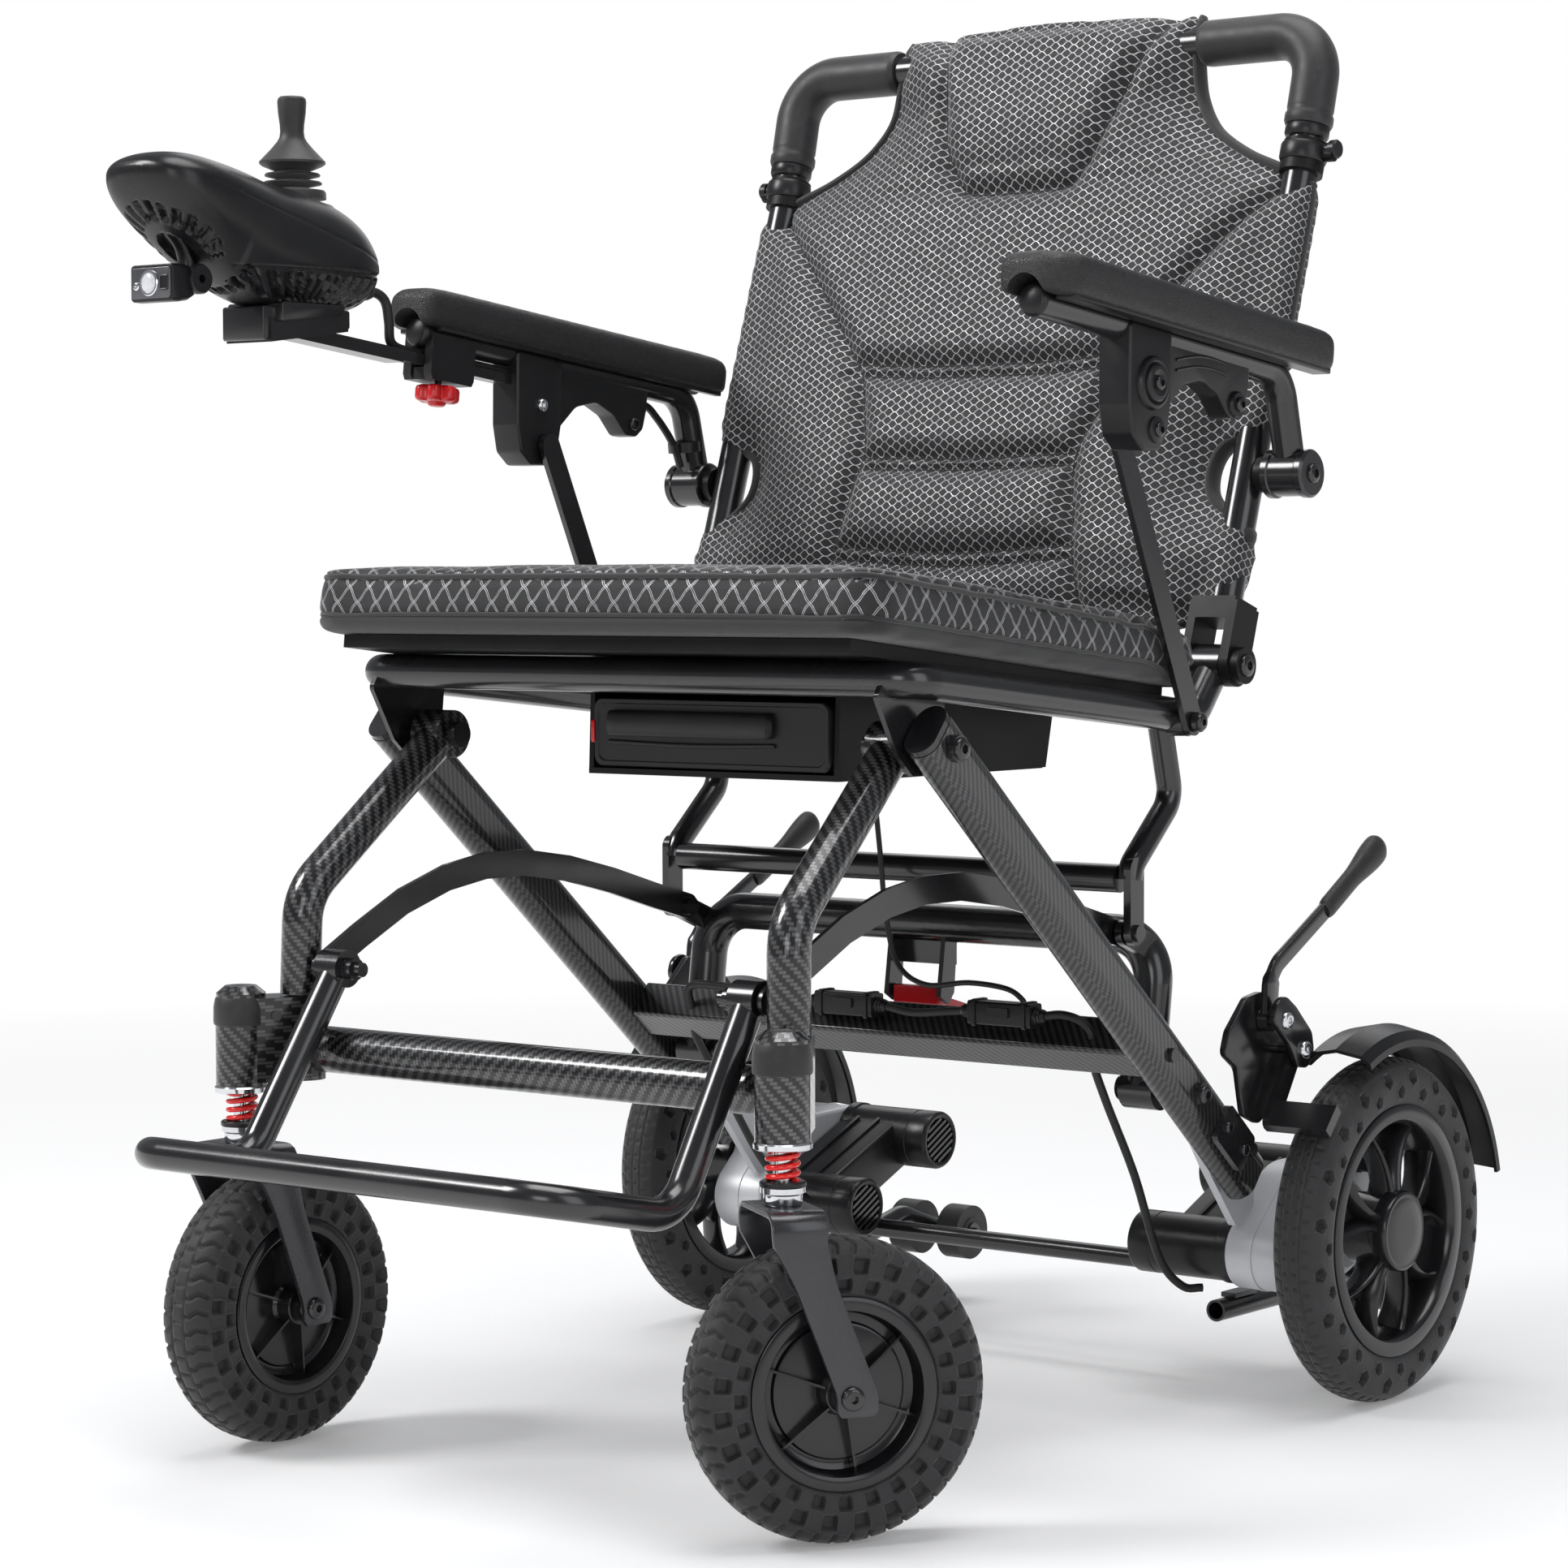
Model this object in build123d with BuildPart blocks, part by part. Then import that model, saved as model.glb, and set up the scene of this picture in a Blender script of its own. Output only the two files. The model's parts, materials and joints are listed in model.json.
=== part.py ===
from build123d import *
import os
from math import sin, cos, radians, degrees, atan2, hypot

os.makedirs("parts", exist_ok=True)

# Folding power wheelchair, real size, millimetres.
# x = 0 is the mid plane, +X is the occupant's left; the front is -Y; +Z is up.
# z = 0 is the ground. The layout is written with y = 0 at the rear axle; every
# piece is then moved by origin_shift, which puts y = 0 in the middle of the
# chair's length. Side-view points are (y, z).

# ---- driving dimensions -------------------------------------------------
SIDES = {1: "left", -1: "right"}           # sign of x on each side of the chair
CUT = Mode.SUBTRACT
FROM_BASE = (Align.CENTER, Align.CENTER, Align.MIN)
origin_shift = 304.25                      # rear axle's y in the finished frame
fit = 0.06                                 # running clearance on radius

# wheels
rear_r, rear_x = 125.0, 301.3
rear_axle = (0, rear_r)
front_r, trail = 96.0, 32.8
front_axle = (trail, front_r)              # measured from the swivel axis
caster_x, caster_y = 236.2, -615.0         # swivel axis
caster_swivel = {1: -33.7, -1: 0.0}        # the left caster stands turned
anti_tip_axle = (148, 58)

# main frame tube: place, section and the ends of its centre line
frame_x, frame_w, frame_d, frame_wall = 237.0, 25.0, 40.0, 2.5
frame_top, frame_bottom = (-463.0, 497.5), (-80.0, 166.7)

# pivots in the side view
front_pivot = (-451.0, 488.0)              # frame, seat and front legs
foot_pivot = (-577.0, 332.0)               # footrest and front of the curved links
link_pivot = (-158.0, 235.0)               # U link on the frame
link_joint = (-183.0, 348.0)               # links and rear support under the seat
back_hinge = (-122.0, 535.0)               # backrest on the seat
support_hinge = (-146.0, 500.0)            # rear support under the seat
arm_hinge = (-78.0, 670.0)                 # armrest on the backrest
arm_link_top = (-271.0, 696.0)
arm_link_base = (-178.0, 497.0)
brake_lever_pivot = (-92, 283)
brake_shoe_pivot = (-67, 260)
pedal_pivot = (-151, 291)

# pin radii
large_pin, small_pin, pedal_pin = 5, 4, 2.5
stem_r, axle_r, arm_spigot_r = 6, 8, 8

# seat, backrest and armrest
seat_front, seat_slope = (-484.0, 533.0), 6.2     # front seat tube, slope down to the rear
seat_rear = (-152, 499.5)
back_top = (-2.0, 901.0)                   # the backrest line points from its hinge to here
back_bend, back_corner = (-4, 895), (20, 992)
leg_r, back_tube_r = 14.0, 12.5
arm_x, arm_tube_r = 272.0, 11
arm_front, arm_slope = (-395.0, 777.0), 6.7
arm_bore = arm_tube_r + 0.1                # clearance around the arm tube
ctrl_x = -arm_x                            # the controller is on the right armrest


def angle_between(start, end):
    """Angle in degrees of the line between two (y, z) points."""
    return degrees(atan2(end[1] - start[1], end[0] - start[0]))


class SideLine:
    """A sloped line in the side view; places are given along and across it."""

    def __init__(self, start, angle):
        self.start, self.angle = start, angle
        self.along = Vector(0, cos(radians(angle)), sin(radians(angle)))
        self.across = Vector(0, -self.along.Z, self.along.Y)

    def point(self, along, across, x=0.0):
        p = Vector(x, *self.start) + self.along * along + self.across * across
        return (p.X, p.Y, p.Z)

    def yz(self, along, across):
        return self.point(along, across)[1:]

    def outline(self, *points):
        return [self.yz(*p) for p in points]

    def box(self, along, across):
        """A rectangle between two distances along and two across."""
        (a0, a1), (c0, c1) = along, across
        return self.outline((a0, c0), (a1, c0), (a1, c1), (a0, c1))


frame = SideLine(frame_top, angle_between(frame_top, frame_bottom))
seat = SideLine(seat_front, -seat_slope)
back = SideLine(back_hinge, angle_between(back_hinge, back_top))   # across is forward
arm = SideLine(arm_front, -arm_slope)
frame_len = hypot(frame_bottom[0] - frame_top[0], frame_bottom[1] - frame_top[1])


# ---- shape helpers ------------------------------------------------------
def both_sides(*half):
    """The points, then their mirror images in x in reverse order."""
    return [*half, *((-p[0], *p[1:]) for p in reversed(half))]


def plane_at(origin, normal):
    return Plane(origin=origin, x_dir=(1, 0, 0), z_dir=normal)


def face_on(plane, points, corner=0.0):
    """A closed outline as a face, with optional corner radius."""
    with BuildSketch(plane) as face:
        with BuildLine():
            if corner:
                FilletPolyline(*points, radius=corner, close=True)
            else:
                Polyline(*points, close=True)
        make_face()
    return face.sketch


def tube(points, radius, bend=0.0, wall=0.0, mode=Mode.ADD):
    """A round bar, or a tube if it has a wall, along a line with rounded corners."""
    with BuildLine() as path:
        if bend and len(points) > 2:
            FilletPolyline(*points, radius=bend)
        else:
            Polyline(*points)
    direction = Vector(*points[1]) - Vector(*points[0])
    with BuildSketch(Plane(origin=points[0], z_dir=direction)) as section:
        Circle(radius)
        if wall:
            Circle(radius - wall, mode=CUT)
    sweep(sections=section.sketch, path=path.wires()[0], mode=mode)


def bar_x(x0, x1, centre, radius, mode=Mode.ADD):
    """A round bar along X around a (y, z) centre."""
    with Locations(Location((min(x0, x1), *centre), (0, 90, 0))):
        Cylinder(radius, abs(x1 - x0), align=FROM_BASE, mode=mode)


def bar(start, direction, radius, length, mode=Mode.ADD):
    """A round bar from a point along any direction."""
    with BuildSketch(Plane(origin=start, z_dir=direction)) as section:
        Circle(radius)
    extrude(section.sketch, amount=length, mode=mode)


def plate(x0, x1, points, mode=Mode.ADD, corner=0.0):
    """A flat plate between x0 and x1 with an outline in (y, z)."""
    plane = Plane(origin=(min(x0, x1), 0, 0), x_dir=(0, 1, 0), z_dir=(1, 0, 0))
    extrude(face_on(plane, points, corner), amount=abs(x1 - x0), mode=mode)


def strap(x0, x1, points, width):
    """A flat bar with round ends along (y, z) points."""
    for start, end in zip(points[:-1], points[1:]):
        length = hypot(end[0] - start[0], end[1] - start[1])
        middle = ((x0 + x1) / 2, (start[0] + end[0]) / 2, (start[1] + end[1]) / 2)
        block(middle, (abs(x1 - x0), length, width), angle_between(start, end))
    for point in points:
        bar_x(x0, x1, point, width / 2)


def block(centre, size, tilt=0.0, mode=Mode.ADD):
    """A box turned about X by tilt degrees."""
    with Locations(Location(centre, (tilt, 0, 0))):
        Box(*size, mode=mode)


def tyre(x, axle, half):
    """A tyre around an axle; half is one side of its section, (x from middle, radius)."""
    centre = (x, *axle)
    section = face_on(plane_at(centre, (0, -1, 0)), both_sides(*half))
    revolve(section, axis=Axis(centre, (1, 0, 0)), revolution_arc=360)


def save(builder, name, place=Location()):
    part = builder.part.moved(place).moved(Location((0, origin_shift, 0)))
    part.label = name
    export_step(part, f"parts/{name}.step")


# ======================= main frame ======================================
with BuildPart() as frame_tubes:
    with BuildSketch(plane_at((frame_x, *frame_top), frame.along)):
        SlotOverall(frame_d, frame_w, rotation=90)
        SlotOverall(frame_d - 2 * frame_wall, frame_w - 2 * frame_wall, rotation=90, mode=CUT)
    extrude(amount=frame_len)
    mirror(about=Plane.YZ)
save(frame_tubes, "frame_tubes")

with BuildPart() as frame_beam:
    block((0, -193.4, 268.7), (448.8, 30, 30), frame.angle)
    fillet(frame_beam.edges().filter_by(Axis.X), 3)
save(frame_beam, "frame_beam")


def frame_plug(s, undersize, length):
    """A slot-shaped plug at the tube's top end; positive length goes into the tube."""
    with BuildSketch(plane_at((s * frame_x, *frame_top), frame.along)) as section:
        SlotOverall(frame_d - undersize, frame_w - undersize, rotation=90)
    extrude(section.sketch, amount=length)


with BuildPart() as frame_fittings:
    for s in SIDES:
        frame_plug(s, undersize=1, length=-5)
        frame_plug(s, undersize=2 * frame_wall + 0.1, length=9)
    # front upper pivot pins, head outside and nut inside
    for s in SIDES:
        bar_x(s * 182, s * 250, front_pivot, large_pin)
        bar_x(s * 249.5, s * 254, front_pivot, 9)
        bar_x(s * 180, s * 185.7, front_pivot, 9)
    # lower link pivot pins
    for s in SIDES:
        bar_x(s * 184, s * 250, link_pivot, large_pin)
        bar_x(s * 249.5, s * 253, link_pivot, 8)
        bar_x(s * 183, s * 188, link_pivot, 9)
    # screws of the brake clamp and of the beam: fraction of the tube length, height
    for s in SIDES:
        for fraction, height in ((0.885, -9), (0.955, 9), (0.70, 0)):
            bar_x(s * 249.5, s * 252.5, frame.yz(frame_len * fraction, height), 5)
save(frame_fittings, "frame_fittings")

# ---- drive --------------------------------------------------------------
motor_centres = ((-46, 106), (52, 148))
motor_housing = [
    (-74, 96), (-56, 76), (-4, 74), (60, 112), (84, 140),
    (84, 168), (62, 182), (30, 182), (-58, 140), (-74, 124),
]
with BuildPart() as drive_units:
    for s in SIDES:
        # two motor cans, necked near their inner ends
        for centre in motor_centres:
            bar_x(s * 138, s * 214, centre, 23)
            bar_x(s * 131, s * 138, centre, 19)
            bar_x(s * 128, s * 131, centre, 23)
        # angular housing that joins them
        plate(s * 152, s * 214, motor_housing)
        # fin slots across the inner ends
        for y, z in motor_centres:
            for k in (-12, -4, 4, 12):
                block((s * 128.5, y, z + k), (3.2, 60, 2.4), mode=CUT)
save(drive_units, "drive_units")

gearbox_body = [
    (-70, 100), (-54, 82), (20, 82), (58, 104), (70, 130),
    (66, 156), (44, 168), (4, 160), (-40, 150), (-70, 132),
]
gearbox_cover = [
    (-44, 104), (-30, 92), (22, 92), (44, 108), (52, 132),
    (44, 150), (20, 158), (-24, 148), (-44, 134),
]
gearbox_gusset = [(-128, 200), (-110, 176), (-70, 128), (-46, 130), (-46, 160), (-96, 214)]
with BuildPart() as gearboxes:
    for s in SIDES:
        plate(s * 215, s * 262, gearbox_body)
        plate(s * 262, s * 276, gearbox_cover)
        bar_x(s * 276, s * 280, rear_axle, 22)
        bar_x(s * 280, s * 322, rear_axle, axle_r)
        # gusset to the inner side of the frame tube
        plate(s * 218, s * 224.3, gearbox_gusset)
save(gearboxes, "gearboxes")

anti_x = 202
with BuildPart() as axle_and_anti_tip_tubes:
    bar_x(-151.8, 151.8, (-10, 84.5), 7)
    for s in SIDES:
        tube([(s * anti_x, -62, 63), (s * anti_x, 40, 63), (s * anti_x, 98, 76),
              (s * anti_x, *anti_tip_axle)], 8, bend=22, wall=1.8)
        bar_x(s * 164, s * 240, anti_tip_axle, axle_r)
        bar_x(s * 160, s * 240, anti_tip_axle, 4)
        block((s * anti_x, -30, 72.2), (12, 30, 3.6))
save(axle_and_anti_tip_tubes, "axle_and_anti_tip_tubes")

# Fender section: (x on the left side, height above the axle)
fender_section = [
    (275, 134), (275, 139), (281, 145), (301, 149), (321, 145), (327, 139), (327, 134),
    (324.5, 134), (324.5, 138), (319.5, 142.3), (301, 146), (282.5, 142.3),
    (277.5, 138), (277.5, 134),
]
fender_lead, fender_arc = 24, 102          # degrees: start ahead of the top, length
wheel_axis = Axis((0, *rear_axle), (1, 0, 0))
with BuildPart() as fenders:
    for s in SIDES:
        # crowned arc over the top and rear of the wheel
        over_wheel = Plane(origin=(0, *rear_axle), x_dir=(s, 0, 0), z_dir=(0, -s, 0))
        section = over_wheel.from_local_coords(face_on(Plane.XY, fender_section))
        section = section.rotate(wheel_axis, fender_lead)
        revolve(section, axis=wheel_axis, revolution_arc=-fender_arc)
        # stay from the gearbox
        strap(s * 268, s * 275.3, [(32, 167), (52, 255)], 14)
        bar_x(s * 262.1, s * 268, (32, 164), 5)
save(fenders, "fenders")

brake_plate = [(-142, 262), (-108, 214), (-56, 244), (-54, 272), (-78, 300), (-104, 300)]
with BuildPart() as brake_brackets:
    for s in SIDES:
        # foot on the frame tube, and the plate that carries the lever and the shoe
        block((s * 252, *frame.yz(frame_len * 0.90, 0)), (5, 44, 30), frame.angle)
        plate(s * 254, s * 261, brake_plate, corner=6)
        for pivot in (brake_lever_pivot, brake_shoe_pivot):
            bar_x(s * 261, s * 279, pivot, small_pin)
            bar_x(s * 276, s * 280, pivot, 7)
save(brake_brackets, "brake_brackets")

cable_r, connector_r = 3.2, 7.5
with BuildPart() as motor_cables:
    # the loom along the beam, with its two in-line connectors
    tube([(-168, -214, 292), (-45, -212, 288)], cable_r)
    tube([(-46, -212, 288), (6, -210, 286)], connector_r)
    tube([(5, -210, 286), (98, -214, 288)], cable_r)
    tube([(97, -214, 288), (150, -220, 290)], connector_r)
    # down to the left and the right motors
    tube([(149, -220, 290), (166, -222, 293), (172, -186, 304), (172, -150, 252),
          (176, -98, 180), (178, -66, 156)], cable_r, bend=10)
    tube([(-167, -214, 292), (-172, -205, 296), (-174, -182, 300), (-172, -150, 252),
          (-176, -98, 180), (-178, -66, 156)], cable_r, bend=8)
save(motor_cables, "motor_cables")

# ======================= front legs ======================================
cross_x = 197.3                            # half length of the cross tube
with BuildPart() as front_frame:
    for s in SIDES:
        tube([(s * 200, *front_pivot), (s * 212.5, -578, 381), (s * 214, -580, 312.7)],
             leg_r, bend=42, wall=2.5)
        bar_x(s * 188, s * 214, front_pivot, 17)
    for s in SIDES:
        bar_x(s * 180, s * 230, front_pivot, large_pin + fit, CUT)
    # cross tube between the two webs
    cross_plane = Plane(origin=(-cross_x, -574, 275), x_dir=(0, 1, 0), z_dir=(1, 0, 0))
    with BuildSketch(cross_plane) as section:
        Circle(16)
        Circle(13.5, mode=CUT)
    extrude(section.sketch, amount=2 * cross_x)
save(front_frame, "front_frame")

with BuildPart() as caster_heads:
    for s in SIDES:
        # web between the leg and the swivel barrel
        with BuildSketch(Plane.XY.offset(254)) as web:
            with Locations((s * 213.5, -579)):
                Circle(16)
            with Locations((s * caster_x, caster_y)):
                Circle(16)
            make_hull()
        extrude(web.sketch, amount=58)
        with Locations((s * caster_x, caster_y, 248)):
            Cylinder(17.6, 61, align=FROM_BASE)
        # cap with a bevelled top
        with Locations((s * caster_x, caster_y, 309)):
            Cylinder(17, 6, align=FROM_BASE)
        with Locations((s * caster_x, caster_y, 315)):
            Cone(17, 11, 5, align=FROM_BASE)
    for s in SIDES:
        with Locations((s * caster_x, caster_y, 247)):
            Cylinder(stem_r + fit, 63, align=FROM_BASE, mode=CUT)
save(caster_heads, "caster_heads")

with BuildPart() as leg_bolts:
    for s in SIDES:
        # footrest pivot pin with a stepped nut inside
        bar_x(s * 166, s * 204, foot_pivot, small_pin)
        bar_x(s * 163, s * 169.5, foot_pivot, 7.5)
        bar_x(s * 157, s * 163, foot_pivot, 5)
        # screws of the web
        for z in (266, 300):
            bar((s * 222, -598.5, z), (-s * 0.83, -0.557, 0), 3.5, 14.5)
save(leg_bolts, "leg_bolts")

# ======================= casters =========================================
# Fork, rim and tyre are drawn around the swivel axis, then moved to caster_places.
caster_places = {s: Location((s * caster_x, caster_y, 0), (0, 0, caster_swivel[s])) for s in SIDES}

# Stem and its collars: (z of base, radius, height)
stem_steps = [(204, stem_r, 92), (204, 10, 3.8), (212.2, 10.5, 8), (220, 14, 5.5)]
for s, side in SIDES.items():
    with BuildPart() as caster_stem:
        for z, radius, height in stem_steps:
            with Locations((s * caster_x, caster_y, z)):
                Cylinder(radius, height, align=FROM_BASE)
    save(caster_stem, f"caster_stem_{side}")

spring_r, spring_h = 9.6, 22.3
for s, side in SIDES.items():
    with BuildPart() as caster_spring:
        # the coil is four stacked rings on a sleeve around the stem
        for k in range(4):
            with Locations((s * caster_x, caster_y, 228.4 + 5.6 * k)):
                Torus(spring_r, 2.3)
        with Locations((s * caster_x, caster_y, 225.6)):
            Cylinder(spring_r, spring_h, align=FROM_BASE)
            Cylinder(6.6, spring_h, align=FROM_BASE, mode=CUT)
    save(caster_spring, f"caster_spring_{side}")

cheek_in, cheek_out = 32, 36               # x of the fork cheek's faces
fork_cheek = [
    (-18, 212), (18, 212), (18, 176), (47, 120), (47, 96),
    (40, 82), (26, 82), (18, 96), (-18, 168),
]
for s, side in SIDES.items():
    with BuildPart() as caster_fork:
        # top plate, cheeks and wheel bolt
        with Locations((0, 0, 208)):
            Box(2 * cheek_out, 36, 4, align=FROM_BASE)
        for k in (1, -1):
            plate(k * cheek_in, k * cheek_out, fork_cheek)
            bar_x(k * 23.6, k * cheek_in, front_axle, 8)
            bar_x(k * cheek_out, k * 40, front_axle, 8)
        bar_x(-33, 33, front_axle, 5)
        with Locations((0, 0, 200)):
            Cylinder(stem_r + fit, 20, align=FROM_BASE, mode=CUT)
    save(caster_fork, f"caster_fork_{side}", caster_places[s])

for s, side in SIDES.items():
    with BuildPart() as front_rim:
        bar_x(-22.5, 22.5, front_axle, 13)
        bar_x(-3, 3, front_axle, 54)
        bar_x(-21, 21, front_axle, 60)
        for k in (1, -1):
            # hollow out each face down to the web, then hub and six ribs
            bar_x(k * 3, k * 22, front_axle, 53, CUT)
            bar_x(k * 3, k * 22.5, front_axle, 13)
            for i in range(6):
                with Locations(Location((k * 11, *front_axle), (i * 60, 0, 0))):
                    with Locations((0, 33, 0)):
                        Box(16, 42, 3.5)
        bar_x(-23, 23, front_axle, 5 + fit, CUT)
    save(front_rim, f"front_rim_{side}", caster_places[s])

front_tyre_half = [(-21, 60), (-23, 66), (-23, 84), (-19, 92), (-10, front_r)]
for s, side in SIDES.items():
    with BuildPart() as front_tyre:
        tyre(0, front_axle, front_tyre_half)
    save(front_tyre, f"front_tyre_{side}", caster_places[s])

# ======================= rear wheels =====================================
for s, side in SIDES.items():
    with BuildPart() as rear_rim:
        bar_x(s * rear_x - 17, s * rear_x + 17, rear_axle, 91)
        bar_x(s * rear_x - 18, s * rear_x + 18, rear_axle, 76, CUT)
        bar_x(s * 283.5, s * 312, rear_axle, 26)
        bar_x(s * 312, s * 324, rear_axle, 29)
        # five forked spokes
        for i in range(5):
            for splay in (-13, 13):
                angle = 90 + 72 * i + splay * 0.6
                with Locations(Location((s * 304, *rear_axle), (angle, 0, 0))):
                    with Locations(Location((0, 52, 0), (splay, 0, 0))):
                        Box(11, 54, 9)
        bar_x(s * 280.5, s * 322.3, rear_axle, axle_r + fit, CUT)
    save(rear_rim, f"rear_rim_{side}")

rear_tyre_half = [(-17, 91), (-18.6, 97), (-18.9, 112), (-15, 121), (-7, rear_r)]
for s, side in SIDES.items():
    with BuildPart() as rear_tyre:
        tyre(s * rear_x, rear_axle, rear_tyre_half)
    save(rear_tyre, f"rear_tyre_{side}")

for s, side in SIDES.items():
    with BuildPart() as anti_tip_wheels:
        for x in (166.5, 215.5):
            hub = (s * (x - 1), s * (x + 22))
            bar_x(s * x, s * (x + 21), anti_tip_axle, 22)
            bar_x(*hub, anti_tip_axle, 12)
            bar_x(*hub, anti_tip_axle, axle_r + fit, CUT)
    save(anti_tip_wheels, f"anti_tip_wheels_{side}")

# ======================= seat ============================================
seat_bracket = [
    (-500, 522), (-478, 484), (-462, 470), (-440, 470),
    (-430, 484), (-426, 524), (-470, 531), (-492, 534),
]
with BuildPart() as seat_frame:
    tube(both_sides((frame_x, -128, 527), (frame_x, *seat_rear), (frame_x, *seat_front)),
         12, bend=20, wall=2)
    for s in SIDES:
        # hinge eye of the backrest
        bar_x(s * 225, s * 249, back_hinge, 15)
        # bracket from the seat tube down to the front upper pivot
        plate(s * 219.6, s * 223.4, seat_bracket, corner=5)
        # cheek and bolt of the armrest link
        bar_x(s * 238, s * 252, arm_link_base, 10)
        bar_x(s * 252, s * 259.5, arm_link_base, small_pin)
        bar_x(s * 258, s * 262, arm_link_base, 7)
        # small block under the cushion board
        block(seat.point(150, 5, s * 218), (14, 30, 10), seat.angle)
        # collar, pin and head for the rear support
        bar_x(s * 217, s * 232, support_hinge, 9)
        bar_x(s * 196, s * 217, support_hinge, small_pin)
        bar_x(s * 192, s * 196.8, support_hinge, 7)
    for s in SIDES:
        bar_x(s * 223.5, s * 250, back_hinge, large_pin + fit, CUT)
        bar_x(s * 217, s * 225, front_pivot, large_pin + fit, CUT)
save(seat_frame, "seat_frame")

tray_right, tray_left, tray_wall = -66, 151, 4
tray_front, tray_rear = -446, -206         # outer y of the tray
tray_inner = tray_rear - tray_wall         # front face of the rear wall
with BuildPart() as seat_base:
    plate(-222, 222, seat.box((-44, 318), (12.6, 21.8)))
    # battery tray hung below the board, open at the front
    plate(tray_right, tray_left, [(tray_front, 463.5), (tray_inner, 463.5),
                                  (tray_inner, 467.5), (tray_front, 467.5)])
    for x in (tray_right, tray_left - tray_wall):
        plate(x, x + tray_wall, [(tray_front, 464), (tray_rear, 464),
                                 *seat.outline((290, 13), (40, 13))])
    plate(tray_right, tray_left, [(tray_inner, 464), (tray_rear, 464),
                                  (tray_rear, 516.5), (tray_inner, 516.5)])
save(seat_base, "seat_base")

# Front left corner cut from the cushion in plan: (x, y), mirrored for the right
cushion_corner = [
    (208, -545), (256, -545), (256, -497), (248, -497),
    (244.5, -512), (235, -525), (222, -533), (208, -538),
]
with BuildPart() as seat_cushion:
    # the rear slope leaves room for the backrest to fold over it
    plate(-248, 248, seat.outline((-53, 30), (-44, 22), (320, 22), (326, 25),
                                  (255, 72), (-36, 72), (-53, 58)))
    for s in SIDES:
        corner = face_on(Plane.XY.offset(500), [(s * x, y) for x, y in cushion_corner])
        extrude(corner, amount=130, mode=CUT)
save(seat_cushion, "seat_cushion")

with BuildPart() as battery_pack:
    block(((tray_right + tray_left) / 2, -331, 492.5), (205, 234, 47))
    fillet(battery_pack.edges().filter_by(Axis.Y), 6)
    # recessed grip in the front face
    block((24, -446, 500), (146, 8, 16), mode=CUT)
    block((24, -446.5, 502), (120, 5, 6))
    block((-46, -449, 494), (9, 4, 14))
save(battery_pack, "battery_pack")

# ======================= backrest ========================================
corner_x = frame_x + 2
foam_r = 17
with BuildPart() as back_frame:
    tube(both_sides(back.point(34, 0, frame_x), (frame_x, *back_bend), (corner_x, *back_corner)),
         back_tube_r, bend=34, wall=2)
save(back_frame, "back_frame")

with BuildPart() as back_foam:
    # sleeve round each upper corner, from 0.29 of the way up the leaning part
    foam_y, foam_z = (low + (high - low) * 0.29 for low, high in zip(back_bend, back_corner))
    for s in SIDES:
        tube([(s * (frame_x + 0.6), foam_y, foam_z), (s * corner_x, *back_corner),
              (s * 141, *back_corner)], foam_r, bend=34, wall=4.35)
save(back_foam, "back_foam")

with BuildPart() as back_knuckles:
    for s in SIDES:
        # fork around the seat hinge eye, with a round cap outside
        for x0, x1 in ((218, 224.4), (249.7, 257)):
            plate(s * x0, s * x1, back.outline((0, -15), (0, 15), (44, 15), (44, -15)))
            bar_x(s * x0, s * x1, back_hinge, 15)
        bar_x(s * 257, s * 264, back_hinge, 13)
        bar_x(s * 221, s * 255, back_hinge, large_pin)
        with BuildSketch(plane_at(back.point(31, 0, s * frame_x), back.along)) as socket:
            Rectangle(36, 30)
        extrude(socket.sketch, amount=16)
        # armrest stub: clamp ring on the back tube and spigot outwards
        bar_x(s * 249.2, s * 256.5, arm_hinge, 13)
        bar_x(s * 256, s * 285, arm_hinge, arm_spigot_r)
        # clamp at the upper bend
        bar((s * frame_x, -6.2, 888), back.along, 16, 24)
        bar_x(s * 250, s * 262, (-1, 901), 5)
    for s in SIDES:
        # bore for the back tube, then room inside the fork
        tube([back.point(34, 0, s * frame_x), (s * frame_x, *back_bend),
              (s * (frame_x + 1), 8, 943.5)], back_tube_r + 0.02, mode=CUT)
        bar_x(s * 207, s * 218.2, back_hinge, 16, CUT)
save(back_knuckles, "back_knuckles")

# Left half of the back pad: (x, distance up the backrest)
back_pad_half = [
    (210, 24), (214, 50), (243, 54), (243, 112), (222, 116), (222, 173), (243, 177),
    (246, 360), (206, 371), (160, 398), (138, 426), (133, 450), (131, 496),
]
with BuildPart() as back_pad:
    pad_face = face_on(plane_at(back.point(0, -22), back.across), both_sides(*back_pad_half))
    extrude(pad_face, amount=35)
    # room for the frame tubes and the foam
    for s in SIDES:
        tube([back.point(20, 0, s * frame_x), back.point(384, 0, s * frame_x)],
             back_tube_r + 0.4, mode=CUT)
    tube([(-145, *back_corner), (145, *back_corner)], foam_r + 0.4, mode=CUT)
save(back_pad, "back_pad")


# ======================= armrests ========================================
def cut_arm_bore(s, start, end):
    """Clear the arm tube's room between two distances along the arm."""
    tube([arm.point(start, 0, s * arm_x), arm.point(end, 0, s * arm_x)], arm_bore, mode=CUT)


for s, side in SIDES.items():
    with BuildPart() as arm_tube:
        tube([arm.point(0, 0, s * arm_x), arm.point(303, 0, s * arm_x),
              (s * arm_x, arm_hinge[0], arm_hinge[1] + 8)], arm_tube_r, bend=30)
        bar_x(s * 257, s * 288, arm_hinge, 16)
        bar_x(s * 288, s * 291, arm_hinge, 13)
        bar_x(s * 250, s * 285.2, arm_hinge, arm_spigot_r + fit, CUT)
    save(arm_tube, f"arm_tube_{side}")

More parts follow.
